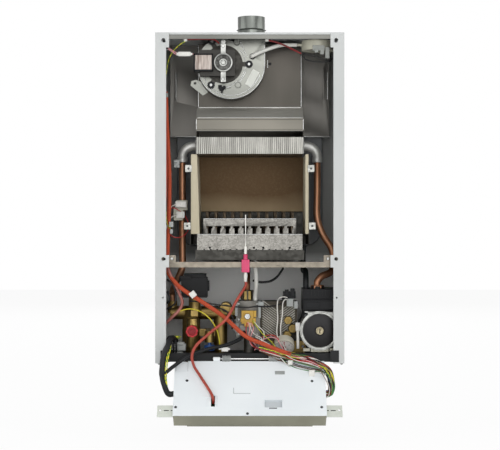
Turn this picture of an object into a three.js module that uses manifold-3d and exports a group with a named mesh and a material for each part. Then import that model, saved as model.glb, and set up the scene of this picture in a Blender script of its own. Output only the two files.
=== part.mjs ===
// A compact wall-hung combination boiler with its front cover off and its control box hinged down.
// Millimetres. X runs to the viewer's right, Y towards the wall (the wall is Y = 0), Z up.
// Heights are measured from the lower edge of the case, and the whole part is then lowered so
// that its origin is the point of the back plate that hangs on the wall.
import * as THREE from 'three';
import { mergeVertices } from 'three/addons/utils/BufferGeometryUtils.js';
import Module from 'manifold-3d';

const wasm = await Module();
wasm.setup();

// ---------------------------------------------------------------- case
const CASE_WIDTH = 400;
const CASE_SIDE = CASE_WIDTH / 2;
const CASE_HEIGHT = 700;
const CASE_DEPTH = 270;
const HANG_LINE = CASE_HEIGHT - 45;
const PUMP_Z = 67.5;
const PUMP_MOTOR_RADIUS = 42;
const PUMP_HEAD_TOP = PUMP_Z + PUMP_MOTOR_RADIUS + 45.5;
const SHELF_Z = PUMP_HEAD_TOP + 49;
const SHEET = 1.2;
const GAP = 0.3;
const FLANGE_WIDTH = 23;
const FLANGE_RETURN = 8;
const TAB_REACH = 6.4;
const TAB_HEIGHT = 32;
const LOWER_TAB_Z = SHELF_Z - 1;
const LOWER_TAB_HEIGHT = 26;
const TAB_HOLE_DIAMETER = 8;
const EAR_SCREW_X = CASE_SIDE - 16.3;
const EAR_SCREW_Z = 139;
const HANG_SLOT_X = 130;
const HANG_SLOT_WIDTH = 30;
const HANG_SLOT_HEIGHT = 9;
const TOP_LIP = 4.5;
const RAIL_HEIGHT = 12;
const RAIL_DEPTH = 10;
const TRAY_FLOOR_Z = 2;
const TRAY_BEAM_HEIGHT = PUMP_Z - PUMP_MOTOR_RADIUS - 8.5;
const TRAY_BEAM_DEPTH = 16;
const TRAY_BEAM_Y = 14 - CASE_DEPTH;
const TRAY_CHEEK_WIDTH = 8;
const TRAY_CHEEK_HEIGHT = 25;
const CROSSBAR_Y = 26 - CASE_DEPTH;
const CROSSBAR_HEIGHT = 12;
const CROSSBAR_TAB_WIDTH = 41;
const CROSSBAR_TAB_HEIGHT = 14.5;

// ---------------------------------------------------------------- connections under the case
const PIPE_INSET = PUMP_MOTOR_RADIUS + 28;
const PIPE_SPACING = (CASE_SIDE - PIPE_INSET) / 2;
const PIPE_ROW_Y = -122;
const PIPE_END_Z = -22;
const LARGE_NIPPLE_RADIUS = 13;
const LARGE_NIPPLE_BORE = 9.5;
const SMALL_NIPPLE_RADIUS = 10.3;
const SMALL_NIPPLE_BORE = 7.2;
const NIPPLE_BORE_DEPTH = 26;
const NIPPLE_CLEARANCE = 3;

// ---------------------------------------------------------------- flue and fan
const SPIGOT_X = 3.4;
const SPIGOT_Y = 80 - CASE_DEPTH;
const SPIGOT_RADIUS = 30;
const SPIGOT_WALL = 1.5;
const SPIGOT_HEIGHT = 43;
const SPIGOT_FLANGE_RADIUS = 40;
const SPIGOT_BEAD_RADIUS = 32.5;
const SPIGOT_BEAD_HEIGHT = 15;
const FAN_X = -56.5;
const FAN_Z = CASE_HEIGHT - 61;
const SCROLL_MIN_RADIUS = 57;
const SCROLL_MAX_RADIUS = 90;
const SCROLL_FRONT_Y = 55 - CASE_DEPTH;
const SCROLL_INLET_RADIUS = 34;
const SCROLL_MOTOR_RADIUS = 38;
const OUTLET_LEFT_X = -25;
const LUG_RADIUS = 8;
const MOTOR_PLATE_RADIUS = 41.5;
const MOTOR_PLATE_THICKNESS = 1.5;
const MOTOR_EAR_RADIUS = 6.5;
const MOTOR_ARM_HALF = 5;
const CORE_LEFT = 50.5;
const CORE_RIGHT = 24.5;
const CORE_HALF_HEIGHT = 28;
const CORE_BACK_Y = SCROLL_FRONT_Y - 7;
const CORE_THICKNESS = 18;
const CORE_LEG = 15;
const CORE_WINDOW = 12;
const CORE_WINDOW_HALF = 16;
const COIL_OUTSIDE = 10;
const COIL_FRONT_Y = CORE_BACK_Y - 29;
const ROTOR_RADIUS = 15;
const ROTOR_CLEARANCE = 0.8;
const FAN_SHAFT_RADIUS = 3;
const BRACKET_HALF_HEIGHT = 41;
const BRACKET_ARM_HALF = 5.5;
const BRACKET_DISC_RADIUS = 17;
const BRACKET_THICKNESS = 4;
const WHEEL_RADIUS = 19.5;
const WHEEL_THICKNESS = 5;
const WHEEL_VANES = 8;
const IMPELLER_RADIUS = 46;
const IMPELLER_BLADE = 9;
const IMPELLER_BLADES = 12;
const IMPELLER_END_CLEARANCE = 4;

// ---------------------------------------------------------------- fume hood and baffle
const HOOD_HALF_WIDTH = 115.6;
const HOOD_TOP_HALF_WIDTH = HOOD_HALF_WIDTH - 4.1;
const HOOD_FRONT_Y = 48 - CASE_DEPTH;
const HOOD_PLATE_Y = SCROLL_FRONT_Y + 49.7;
const HOOD_BACK_Y = -80;
const HOOD_SKIRT_BOTTOM = CASE_HEIGHT - 205.1;
const HOOD_SKIRT_TOP = CASE_HEIGHT - 177.2;
const HOOD_PLATE_BOTTOM = CASE_HEIGHT - 150;
const HOOD_TOP_Z = CASE_HEIGHT - 11;
const HOOD_EDGE = 3;
const BAFFLE_Y = -70;
const BAFFLE_HALF_WIDTH = CASE_SIDE - 20;
const BAFFLE_BOTTOM_Z = CASE_HEIGHT - 209;
const BAFFLE_LIP = 14;
const BAFFLE_RIB_X = BAFFLE_HALF_WIDTH - 13;

// ---------------------------------------------------------------- heat exchanger and chamber
const CHAMBER_HALF_WIDTH = HOOD_HALF_WIDTH + 12.6;
const CHAMBER_FRONT_Y = 50 - CASE_DEPTH;
const CHAMBER_BACK_Y = -76;
const CHAMBER_BOTTOM_Z = SHELF_Z + 46;
const CHAMBER_TOP_Z = CASE_HEIGHT - 254.6;
const CHAMBER_TAB_REACH = 11;
const CHAMBER_TAB_HEIGHT = 14;
const CHAMBER_UPPER_TAB_Z = CHAMBER_TOP_Z - 31.4;
const CHAMBER_LOWER_TAB_Z = SHELF_Z + 86.5;
const FINS_HALF_WIDTH = HOOD_HALF_WIDTH - 1.2;
const FINS_HEIGHT = 36.3;
const FIN_COUNT = 36;
const FIN_SHARE = 0.5;
const FIN_SLOT_DEPTH = 60;
const FINS_BACK_Y = -82;
const ELBOW_RADIUS = 10;
const ELBOW_Z = CASE_HEIGHT - 234;
const ELBOW_Y = -160;
const ELBOW_BEND = 22;
const ELBOW_END_Z = ELBOW_Z - 36;
const COLLAR_RADIUS = 11.5;
const INSULATION_BACK = 12;
const INSULATION_LEFT_TOP = 13;
const INSULATION_LEFT_BOTTOM = 19;
const INSULATION_RIGHT = 7;

// ---------------------------------------------------------------- burner and ignition
const GUTTER_BOTTOM_Z = SHELF_Z + 13.5;
const SUPPORT_BOTTOM_Z = GUTTER_BOTTOM_Z + 21.4;
const SUPPORT_TOP_Z = SUPPORT_BOTTOM_Z + 34.1;
const BURNER_HALF_WIDTH = CHAMBER_HALF_WIDTH - 28.3;
const BURNER_FRONT_Y = CHAMBER_FRONT_Y + 2.5;
const BURNER_BOTTOM_Z = SUPPORT_TOP_Z - 18;
const BURNER_TOP_Z = BURNER_BOTTOM_Z + 51.7;
const BURNER_BACK_Y = -104;
const BLADE_COUNT = 11;
const BLADE_PITCH = (2 * BURNER_HALF_WIDTH - 15.8) / (BLADE_COUNT - 1);
const BLADE_WIDTH = 6;
const BLADE_TOP_Z = BURNER_TOP_Z + 14.3;
const WINDOW_COUNT = 10;
const WINDOW_PITCH = (2 * BURNER_HALF_WIDTH - 26.1) / (WINDOW_COUNT - 1);
const WINDOW_BAR_WIDTH = 14;
const WINDOW_STEM_WIDTH = 8;
const WINDOW_TOP_Z = BURNER_TOP_Z - 16.2;
const WINDOW_BAR_HEIGHT = 5;
const WINDOW_HEIGHT = 17;
const SUPPORT_HALF_WIDTH = CHAMBER_HALF_WIDTH - 14.9;
const SUPPORT_FRONT_Y = CHAMBER_FRONT_Y + 0.6;
const GUTTER_HALF_WIDTH = SUPPORT_HALF_WIDTH + 3.7;
const GUTTER_FRONT_Y = CHAMBER_FRONT_Y - 6;
const GUTTER_BACK_Y = -76;
const MANIFOLD_HALF_WIDTH = BURNER_HALF_WIDTH - 1.9;
const MANIFOLD_Y = -92;
const MANIFOLD_Z = BURNER_BOTTOM_Z + 15;
const MANIFOLD_HALF = 8;
const INJECTOR_RADIUS = 2.5;
const ELECTRODE_X = -9;
const ELECTRODE_RADIUS = 3.2;
const ELECTRODE_PIN_RADIUS = 1.2;
const CERAMIC_BOTTOM_Z = SHELF_Z + 27;
const CERAMIC_TOP_Z = CERAMIC_BOTTOM_Z + 16;
const CAP_NECK_RADIUS = 4.4;
const CAP_NECK_Z = CERAMIC_BOTTOM_Z - 12;
const CAP_BOTTOM_Z = CAP_NECK_Z - 27;
const CAP_HALF_WIDTH = 8.5;
const CAP_HALF_DEPTH = 5.5;
const ELECTRODE_Y = CROSSBAR_Y - GAP - CAP_HALF_DEPTH;
const TERMINAL_BOTTOM_Z = CAP_BOTTOM_Z - 19;
const TERMINAL_HALF = 2.8;

// ---------------------------------------------------------------- upper pipes, switch, vessel
const PIPE_RADIUS = 7.5;
const PIPE_CLEARANCE = 2.5;
const FLOW_PIPE_X = -CHAMBER_HALF_WIDTH - 19.8;
const RETURN_PIPE_X = -FLOW_PIPE_X;
const SWITCH_X = CASE_SIDE - 56;
const SWITCH_Y = 58 - CASE_DEPTH;
const SWITCH_Z = CASE_HEIGHT - 32;
const SWITCH_RADIUS = 32;
const SWITCH_HEIGHT = 21;
const SWITCH_NIPPLE_Z = SWITCH_Z + 13;
const SWITCH_NIPPLE_RADIUS = 2.8;
const SWITCH_BRACKET_DEPTH = 40;
const SWITCH_BRACKET_DROP = 26;
const HOSE_RADIUS = 4;
const HOSE_START_X = 6;
const HOSE_START_Z = FAN_Z + 17;
const SENSOR_Z = SHELF_Z + 99;
const SENSOR_HEIGHT = 44;
const SENSOR_HALF = 12;
const VESSEL_HALF_WIDTH = CASE_SIDE - 35;
const VESSEL_BOTTOM_Z = SHELF_Z + 41;
const VESSEL_TOP_Z = HANG_LINE - 15;
const VESSEL_FRONT_Y = -66;
const VESSEL_BACK_Y = -2;
const VESSEL_CORNER = 40;
const VESSEL_WALL = 1.5;
const VESSEL_NIPPLE_RADIUS = 7;
const VESSEL_NIPPLE_BORE = 4.5;
const VESSEL_NIPPLE_LENGTH = 14;
const VESSEL_HOSE_RADIUS = 6;

// ---------------------------------------------------------------- hydraulic groups
const FLOW_ARM_RADIUS = 15;
const FLOW_ARM_Z = 98;
const FLOW_ARM_LEFT_X = 24 - CASE_SIDE;
const FLOW_COLUMN_RADIUS = 20;
const FLOW_TOP_Z = 124;
const FLOW_PORT_X = FLOW_ARM_LEFT_X + 4;
const DIVERTER_X = Math.max(FLOW_PIPE_X + 28, FLOW_PORT_X + 52);
const DIVERTER_Y = -186;
const DIVERTER_POST_RADIUS = 13;
const DIVERTER_POST_TOP = SHELF_Z - 68.3;
const DIVERTER_BORE = 3.5;
const DIVERTER_BORE_DEPTH = 30;
const DIVERTER_MOTOR_HALF_WIDTH = 28;
const DIVERTER_MOTOR_HEIGHT = 51;
const DIVERTER_MOTOR_HALF_DEPTH = 27;
const SPINDLE_RADIUS = 3;
const SPINDLE_TRAVEL = 7;
const SPINDLE_LENGTH = 32;
const SAFETY_X = 6 - 2 * PIPE_SPACING;
const SAFETY_Y = -194;
const SAFETY_RADIUS = 13;
const SAFETY_BOTTOM_Z = 28;
const SAFETY_TOP_Z = 90;
const SAFETY_KNOB_Z = 65;
const SAFETY_KNOB_RADIUS = 12.9;
const SAFETY_KNOB_LENGTH = 16;
const SAFETY_BOSS_LENGTH = 25;
const SAFETY_TAIL_RADIUS = 8;
const FILLING_X = -23 - PIPE_SPACING;
const FILLING_Y = -178;
const FILLING_BODY_RADIUS = 10;
const FILLING_KNOB_RADIUS = 11;
const FILLING_KNOB_BOTTOM = 19;
const FILLING_KNOB_HEIGHT = 12;
const FILLING_STEM_RADIUS = 4;
const FILLING_TOP_Z = 62;
const GAS_VALVE_LEFT = -30;
const GAS_VALVE_RIGHT = 22;
const GAS_VALVE_FRONT = -200;
const GAS_VALVE_BACK = -146;
const GAS_VALVE_BOTTOM = 48;
const GAS_VALVE_TOP = 128;
const GAS_PIPE_X = -4.9;
const GAS_PIPE_Y = -160;
const GAS_PIPE_RADIUS = 6;
const GAS_NUT_RADIUS = 13.5;
const GAS_NUT_HEIGHT = 22;
const GAS_COIL_HALF_WIDTH = 13;
const GAS_COIL_Z = 94;
const GAS_COIL_HALF_HEIGHT = 14;
const GAS_COIL_DEPTH = 16;
const REFERENCE_HOSE_RADIUS = 4.5;
const REFERENCE_HOSE_X = 12;
const REFERENCE_HOSE_Y = -188;
const EXCHANGER_BOTTOM = 38;
const EXCHANGER_TOP = 125;
const EXCHANGER_FRONT = -156;
const EXCHANGER_BACK = -106;
const EXCHANGER_GROOVES = 7;
const EXCHANGER_GROOVE_DEPTH = 3;
const CHEVRON_COUNT = 6;
const CHEVRON_HEIGHT = 2;
const RETURN_BLOCK_TOP = 36;
const RETURN_BLOCK_BOTTOM = 8;
const RETURN_BLOCK_HALF_DEPTH = 15;
const PUMP_X = 2 * PIPE_SPACING + 19;
const PUMP_MOTOR_FRONT = 20 - CASE_DEPTH;
const PUMP_MOTOR_BACK = -192;
const PUMP_RING_INNER = PUMP_MOTOR_RADIUS - 6;
const PUMP_RING_DEPTH = 2.5;
const PUMP_HOUSING_RADIUS = PUMP_MOTOR_RADIUS + 1;
const PUMP_HOUSING_BACK = -140;
const PUMP_WALL = 3;
const PUMP_HEAD_HALF_WIDTH = PUMP_MOTOR_RADIUS - 7;
const PUMP_HEAD_LEFT = PUMP_X - PUMP_HEAD_HALF_WIDTH;
const PUMP_HEAD_RIGHT = PUMP_X + PUMP_HEAD_HALF_WIDTH;
const PUMP_HEAD_FRONT = PUMP_MOTOR_FRONT + 18;
const PUMP_UNION_X = PUMP_X - 3;
const PUMP_UNION_Y = PUMP_HEAD_FRONT + 24;
const VESSEL_NIPPLE_X = PUMP_HEAD_LEFT + 8;
const EXCHANGER_LEFT = GAS_VALVE_RIGHT + 1;
const EXCHANGER_RIGHT = PUMP_HEAD_LEFT - 10;
const PUMP_UNION_RADIUS = 14;
const PUMP_UNION_HEIGHT = 6;
const TERMINAL_BOX_FRONT = PUMP_MOTOR_FRONT + 7;
const TERMINAL_BOX_BACK = -193;
const TERMINAL_BOX_HEIGHT = 23;
const PUMP_IMPELLER_RADIUS = 27;
const PUMP_IMPELLER_THICKNESS = 9;
const PUMP_ROTOR_RADIUS = 14;
const PUMP_ROTOR_CLEARANCE = 0.7;
const PUMP_SHAFT_RADIUS = 4;
const GAUGE_X = PIPE_SPACING + 8.4;
const GAUGE_Y = 34 - CASE_DEPTH;
const GAUGE_Z = 31;
const GAUGE_TILT = 40;
const GAUGE_RADIUS = 21.5;
const GAUGE_DEPTH = 16;
const GAUGE_BEZEL = 2;
const GAUGE_RECESS = 2.5;
const GAUGE_FOOT_HALF = 6;
const GAUGE_NECK_RADIUS = 5;
const GAUGE_NECK_LENGTH = 14;
const NEEDLE_LENGTH = 15;
const NEEDLE_TAIL = 7;
const NEEDLE_HALF_WIDTH = 0.7;
const NEEDLE_HUB = 2.5;

// ---------------------------------------------------------------- control box
const HINGE_Y = 5 - CASE_DEPTH;
const HINGE_Z = 9.3;
const OPEN_ANGLE = 45;
const ROD_RADIUS = 2;
const ROD_LEFT = -78;
const ROD_RIGHT = 138;
const ROD_CLEARANCE = 0.35;
const HINGE_BLOCK_X = 49.2;
const HINGE_BLOCK_HALF = 9.5;
const HINGE_BLOCK_RADIUS = 5;
const KNUCKLE_LEFT_X = -70;
const KNUCKLE_RIGHT_X = 110;
const KNUCKLE_HALF = 7;
const KNUCKLE_RADIUS = 4;
const HOUSING_HALF_WIDTH = CASE_SIDE - 43.5;
const COVER_HALF_WIDTH = HOUSING_HALF_WIDTH + 1;
const COVER_FROM = 6;
const COVER_TO = 148.5;
const COVER_THICKNESS = 1.2;
const HOUSING_DEPTH = 34.5;
const HOUSING_WALL = 2.5;
const STEP_HALF_WIDTH = HOUSING_HALF_WIDTH - 26.5;
const STEP_FROM = 22;
const STEP_TO = 140;
const STEP_HEIGHT = 13;
const EAR_REACH = CASE_SIDE - 10;
const EAR_FROM = 118;
const EAR_TO = 147;
const EAR_OFFSET = 5.6;
const EAR_THICKNESS = 2.5;
const EAR_HOLE_RADIUS = 2.5;
const LEAD_SLOT_LEFT = -88;
const LEAD_SLOT_RIGHT = -67;
const LEAD_SLOT_FROM = 98;
const LEAD_SLOT_TO = 126;
const RECESS_LEFT = 30;
const RECESS_RIGHT = 67;
const RECESS_FROM = 108;
const RECESS_TO = 128;
const RECESS_DEPTH = 6;
const BOARD_HALF_WIDTH = HOUSING_HALF_WIDTH - 36.5;
const BOARD_FROM = 20;
const BOARD_TO = 138;
const BOARD_DEPTH = 30;
const BOARD_THICKNESS = 1.6;
const KNOB_X = 55;
const KNOB_U = 82;
const KNOB_RADIUS = 17;
const KNOB_LENGTH = 15;
const KNOB_SHAFT_RADIUS = 3;

// ---------------------------------------------------------------- cords
const LEAD_RADIUS = 3;
const SLEEVE_RADIUS = 4.5;
const CABLE_RADIUS = 6;
const CONDUIT_RADIUS = 4;
const CORD_SIDES = 8;

// ---------------------------------------------------------------- solids
const RAD = Math.PI / 180;
const SLIVER = 0.02;
const SIDES = 16;

// A block given by the two ends of each of its sides.
function box(x0, x1, y0, y1, z0, z1) {
  const block = new THREE.BoxGeometry(x1 - x0, y1 - y0, z1 - z0);
  return block.translate((x0 + x1) / 2, (y0 + y1) / 2, (z0 + z1) / 2);
}

// A round bar that stands upright between two heights.
function post(x, y, radius, z0, z1, sides = SIDES) {
  const bar = new THREE.CylinderGeometry(radius, radius, z1 - z0, sides);
  return bar.rotateX(Math.PI / 2).translate(x, y, (z0 + z1) / 2);
}

// A round bar that runs from front to back between two depths.
function barrel(x, z, radius, y0, y1, sides = SIDES) {
  const bar = new THREE.CylinderGeometry(radius, radius, y1 - y0, sides);
  return bar.translate(x, (y0 + y1) / 2, z);
}

// A round bar that runs from left to right.
function spar(y, z, radius, x0, x1, sides = SIDES) {
  const bar = new THREE.CylinderGeometry(radius, radius, x1 - x0, sides);
  return bar.rotateZ(-Math.PI / 2).translate((x0 + x1) / 2, y, z);
}

function outline(points) {
  return new THREE.Shape(points.map(([u, v]) => new THREE.Vector2(u, v)));
}

// An outline drawn on the front view, given its depth from front to back.
function plateXZ(points, y0, y1) {
  const plate = new THREE.ExtrudeGeometry(outline(points), { depth: y1 - y0, bevelEnabled: false });
  return plate.rotateX(Math.PI / 2).translate(0, y1, 0);
}

// An outline drawn on the side view (depth, height), given its width from left to right.
function profileYZ(points, x0, x1) {
  const bar = new THREE.ExtrudeGeometry(outline(points), { depth: x1 - x0, bevelEnabled: false });
  const turn = new THREE.Matrix4().makeBasis(
    new THREE.Vector3(0, 1, 0),
    new THREE.Vector3(0, 0, 1),
    new THREE.Vector3(1, 0, 0),
  );
  return bar.applyMatrix4(turn).translate(x0, 0, 0);
}

// An outline drawn on the plan view, given its height.
function planXY(points, z0, z1) {
  const slab = new THREE.ExtrudeGeometry(outline(points), { depth: z1 - z0, bevelEnabled: false });
  return slab.translate(0, 0, z0);
}

// A round tube or cable along a smooth path through the given points.
function run(points, radius, sides, steps, tension = 0.5) {
  const vectors = points.map(([x, y, z]) => new THREE.Vector3(x, y, z));
  const path = new THREE.CatmullRomCurve3(vectors, false, 'catmullrom', tension);
  const section = new THREE.Shape();
  for (let i = 0; i < sides; i++) {
    const angle = (2 * Math.PI * i) / sides;
    const point = [radius * Math.cos(angle), radius * Math.sin(angle)];
    if (i === 0) section.moveTo(...point);
    else section.lineTo(...point);
  }
  section.closePath();
  return new THREE.ExtrudeGeometry(section, { extrudePath: path, steps, curveSegments: 1 });
}

// Corners sit on a grid of a thousandth, so that faces meant to share a plane do so exactly.
const snap = (value) => Math.round(value * 1000) / 1000;

function solid(shape) {
  if (shape instanceof wasm.Manifold) return shape;
  const bare = shape.clone();
  bare.deleteAttribute('normal');
  bare.deleteAttribute('uv');
  const merged = mergeVertices(bare, 1e-4);
  return new wasm.Manifold(
    new wasm.Mesh({
      numProp: 3,
      vertProperties: Float32Array.from(merged.attributes.position.array, snap),
      triVerts: Uint32Array.from(merged.index.array),
    }),
  );
}

function join(...shapes) {
  return shapes.map(solid).reduce((a, b) => a.add(b));
}

function cut(base, ...tools) {
  return tools.map(solid).reduce((a, b) => a.subtract(b), solid(base));
}

function geometry(shape) {
  if (!(shape instanceof wasm.Manifold)) return shape;
  const mesh = shape.simplify(SLIVER).getMesh();
  const result = new THREE.BufferGeometry();
  const points = [];
  for (let i = 0; i < mesh.vertProperties.length; i += mesh.numProp) {
    points.push(...mesh.vertProperties.slice(i, i + 3));
  }
  result.setAttribute('position', new THREE.Float32BufferAttribute(points, 3));
  result.setIndex([...mesh.triVerts]);
  return result;
}

// ---------------------------------------------------------------- finishes
const finish = (color, roughness, metalness) =>
  new THREE.MeshStandardMaterial({ color, roughness, metalness });
const PAINT = finish('#d3d6d6', 0.5, 0.1);
const GALVANISED = finish('#8f8f8b', 0.45, 0.8);
const SHADED_STEEL = finish('#5f605f', 0.5, 0.7);
const BRIGHT_STEEL = finish('#b9bab8', 0.3, 0.9);
const DIE_CAST = finish('#a9a9a4', 0.4, 0.8);
const COPPER = finish('#8a5a3a', 0.35, 0.9);
const WINDING = finish('#c29a8c', 0.45, 0.5);
const BRASS = finish('#8d7648', 0.4, 0.8);
const SILVERED = finish('#b4b3ae', 0.5, 0.6);
const INSULATION = finish('#e2d9bd', 0.9, 0);
const SCORCHED = finish('#5a4632', 0.95, 0);
const BLACK = finish('#1f2022', 0.5, 0);
const GREY_PLASTIC = finish('#b7b6a6', 0.55, 0);
const COVER_WHITE = finish('#e6ebee', 0.4, 0.1);
const SILICONE = finish('#e4e3de', 0.6, 0);
const CERAMIC = finish('#f1efe8', 0.3, 0);
const MAGENTA = finish('#c9406a', 0.5, 0);
const RED = finish('#d0232f', 0.4, 0);
const BLUE = finish('#2c5aa0', 0.4, 0);
const YELLOW = finish('#e3b52a', 0.5, 0);
const BOARD_GREEN = finish('#2f5b3a', 0.5, 0);
const SLEEVE = finish('#b8432f', 0.6, 0);
const NEEDLE = finish('#c0392b', 0.5, 0);
const VESSEL_GREY = finish('#6d6f70', 0.5, 0.3);

// ---------------------------------------------------------------- assembly
const boiler = new THREE.Group();
boiler.position.z = -HANG_LINE;

const controlBox = new THREE.Group();
controlBox.position.set(0, HINGE_Y, HINGE_Z);
controlBox.rotation.x = OPEN_ANGLE * RAD;
boiler.add(controlBox);

const gauge = new THREE.Group();
gauge.position.set(GAUGE_X, GAUGE_Y, GAUGE_Z);
gauge.rotation.x = GAUGE_TILT * RAD;
boiler.add(gauge);

function add(name, shape, material, parent = boiler) {
  const mesh = new THREE.Mesh(geometry(shape), material);
  mesh.name = name;
  parent.add(mesh);
}

// ---------------------------------------------------------------- case pieces
const half = CASE_WIDTH / 2;
const inside = half - SHEET - GAP;
const front = -CASE_DEPTH;
const flangeEdge = half - FLANGE_WIDTH;
const underTop = CASE_HEIGHT - SHEET - GAP;
const tabEdge = flangeEdge - TAB_REACH;

const hangSlots = [-1, 1].map((side) =>
  box(
    side * HANG_SLOT_X - HANG_SLOT_WIDTH / 2,
    side * HANG_SLOT_X + HANG_SLOT_WIDTH / 2,
    -SHEET - 1,
    1,
    HANG_LINE - HANG_SLOT_HEIGHT / 2,
    HANG_LINE + HANG_SLOT_HEIGHT / 2,
  ),
);
const backPlate = box(-inside, inside, -SHEET, 0, 0, CASE_HEIGHT - SHEET - GAP);
add('back_plate', cut(backPlate, ...hangSlots), PAINT);

// Each side is a folded sheet: the wall, the flange round the front and its short return.
// Two tabs widen the flange where the front cover hooks on, and a small hole takes the ear screw.
const topTab = CASE_HEIGHT - TAB_HEIGHT;
const lowerTabTop = LOWER_TAB_Z + LOWER_TAB_HEIGHT;
for (const [name, side] of [['left_side_panel', -1], ['right_side_panel', 1]]) {
  const folded = planXY(
    [
      [side * half, 0],
      [side * half, front],
      [side * tabEdge, front],
      [side * tabEdge, front + SHEET],
      [side * flangeEdge, front + SHEET],
      [side * flangeEdge, front + FLANGE_RETURN],
      [side * (flangeEdge + SHEET), front + FLANGE_RETURN],
      [side * (flangeEdge + SHEET), front + SHEET],
      [side * (half - SHEET), front + SHEET],
      [side * (half - SHEET), 0],
    ],
    0,
    CASE_HEIGHT,
  );
  const edge = (inner, outer, y1, z0, z1) => box(
    Math.min(side * inner, side * outer),
    Math.max(side * inner, side * outer),
    front - 1,
    y1,
    z0,
    z1,
  );
  const tabHoleX = side * (flangeEdge + SHEET + 0.5 + TAB_HOLE_DIAMETER / 2);
  const hole = (x, z, radius, sides) => barrel(x, z, radius, front - 1, front + SHEET + 1, sides);
  add(
    name,
    cut(
      folded,
      edge(tabEdge - 1, flangeEdge, front + SHEET + 1, -1, LOWER_TAB_Z),
      edge(tabEdge - 1, flangeEdge, front + SHEET + 1, lowerTabTop, topTab),
      cut(
        edge(flangeEdge - 1, flangeEdge + SHEET + 1, front + FLANGE_RETURN + 1, underTop, CASE_HEIGHT + 1),
        edge(flangeEdge - 3, flangeEdge + SHEET + 3, front + SHEET, underTop - 1, CASE_HEIGHT + 2),
      ),
      hole(tabHoleX, topTab + TAB_HEIGHT / 2, TAB_HOLE_DIAMETER / 2, 12),
      hole(tabHoleX, lowerTabTop - TAB_HOLE_DIAMETER, TAB_HOLE_DIAMETER / 2, 12),
      hole(side * EAR_SCREW_X, EAR_SCREW_Z, 1.8, 8),
    ),
    PAINT,
  );
}

const topSheet = join(
  box(-inside, inside, front + SHEET + GAP, -SHEET - GAP, CASE_HEIGHT - SHEET, CASE_HEIGHT),
  box(
    -tabEdge + GAP,
    tabEdge - GAP,
    front + SHEET + GAP,
    front + 2 * SHEET + GAP,
    CASE_HEIGHT - TOP_LIP,
    CASE_HEIGHT,
  ),
);
const flueHole = post(SPIGOT_X, SPIGOT_Y, SPIGOT_RADIUS - SPIGOT_WALL, CASE_HEIGHT - 20, CASE_HEIGHT + 20);
const railFront = front + 2 * SHEET + 2 * GAP;
const rail = box(-flangeEdge + GAP, flangeEdge - GAP, railFront, railFront + RAIL_DEPTH,
  underTop - RAIL_HEIGHT, CASE_HEIGHT - SHEET / 2);
const railHollow = box(-flangeEdge, flangeEdge, railFront + SHEET, railFront + RAIL_DEPTH + 1,
  underTop - RAIL_HEIGHT - 1, CASE_HEIGHT - SHEET);
add('top_panel', cut(topSheet.add(cut(rail, railHollow)), flueHole), PAINT);

// The bottom tray: a floor with a clearance hole for each pipe, a front beam and two end cheeks.
const trayTop = TRAY_FLOOR_Z + SHEET;
const pipeX = (place) => place * PIPE_SPACING;
const nipples = [
  { x: pipeX(-2), y: PIPE_ROW_Y, radius: LARGE_NIPPLE_RADIUS },
  { x: pipeX(-1), y: PIPE_ROW_Y, radius: SMALL_NIPPLE_RADIUS },
  { x: pipeX(0), y: GAS_PIPE_Y - 5, radius: LARGE_NIPPLE_RADIUS },
  { x: pipeX(1), y: PIPE_ROW_Y, radius: SMALL_NIPPLE_RADIUS },
  { x: pipeX(2), y: PIPE_ROW_Y, radius: LARGE_NIPPLE_RADIUS },
];
const trayHoles = nipples.map(({ x, y, radius }) =>
  post(x, y, radius + NIPPLE_CLEARANCE, TRAY_FLOOR_Z - 1, trayTop + 1),
);
const cheek = flangeEdge + 10;
const cheekTop = TRAY_FLOOR_Z + TRAY_CHEEK_HEIGHT;
const beamBack = TRAY_BEAM_Y + TRAY_BEAM_DEPTH;
const gaugeReach = GAUGE_DEPTH + GAUGE_NECK_LENGTH;
const gaugeTabY = GAUGE_Y + gaugeReach * Math.cos(GAUGE_TILT * RAD)
  + GAUGE_NECK_RADIUS * Math.sin(GAUGE_TILT * RAD) + 2 * GAP;
const gaugeTab = box(
  GAUGE_X - GAUGE_FOOT_HALF,
  GAUGE_X + GAUGE_FOOT_HALF,
  gaugeTabY,
  gaugeTabY + SHEET,
  TRAY_FLOOR_Z,
  GAUGE_Z + gaugeReach * Math.sin(GAUGE_TILT * RAD) + 4,
);
add(
  'bottom_tray',
  cut(
    join(
      box(-inside, inside, TRAY_BEAM_Y, -SHEET - GAP, TRAY_FLOOR_Z, trayTop),
      box(-cheek, cheek, TRAY_BEAM_Y, beamBack, TRAY_FLOOR_Z, trayTop + TRAY_BEAM_HEIGHT),
      box(-cheek, -cheek + TRAY_CHEEK_WIDTH, TRAY_BEAM_Y, beamBack, TRAY_FLOOR_Z, cheekTop),
      box(cheek - TRAY_CHEEK_WIDTH, cheek, TRAY_BEAM_Y, beamBack, TRAY_FLOOR_Z, cheekTop),
      gaugeTab,
    ),
    ...trayHoles,
  ),
  BLACK,
);

// The crossbar carries the front edge of the shelf under the burner.
const shelfBottom = SHELF_Z;
const crossbarBottom = shelfBottom - 2;
add(
  'crossbar',
  join(
    box(-inside, inside, CROSSBAR_Y, CROSSBAR_Y + SHEET, crossbarBottom, crossbarBottom + CROSSBAR_HEIGHT),
    box(-inside, -inside + CROSSBAR_TAB_WIDTH, CROSSBAR_Y, CROSSBAR_Y + SHEET,
      crossbarBottom, crossbarBottom + CROSSBAR_HEIGHT + CROSSBAR_TAB_HEIGHT),
    box(inside - CROSSBAR_TAB_WIDTH, inside, CROSSBAR_Y, CROSSBAR_Y + SHEET,
      crossbarBottom, crossbarBottom + CROSSBAR_HEIGHT + CROSSBAR_TAB_HEIGHT),
  ),
  GALVANISED,
);

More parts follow.
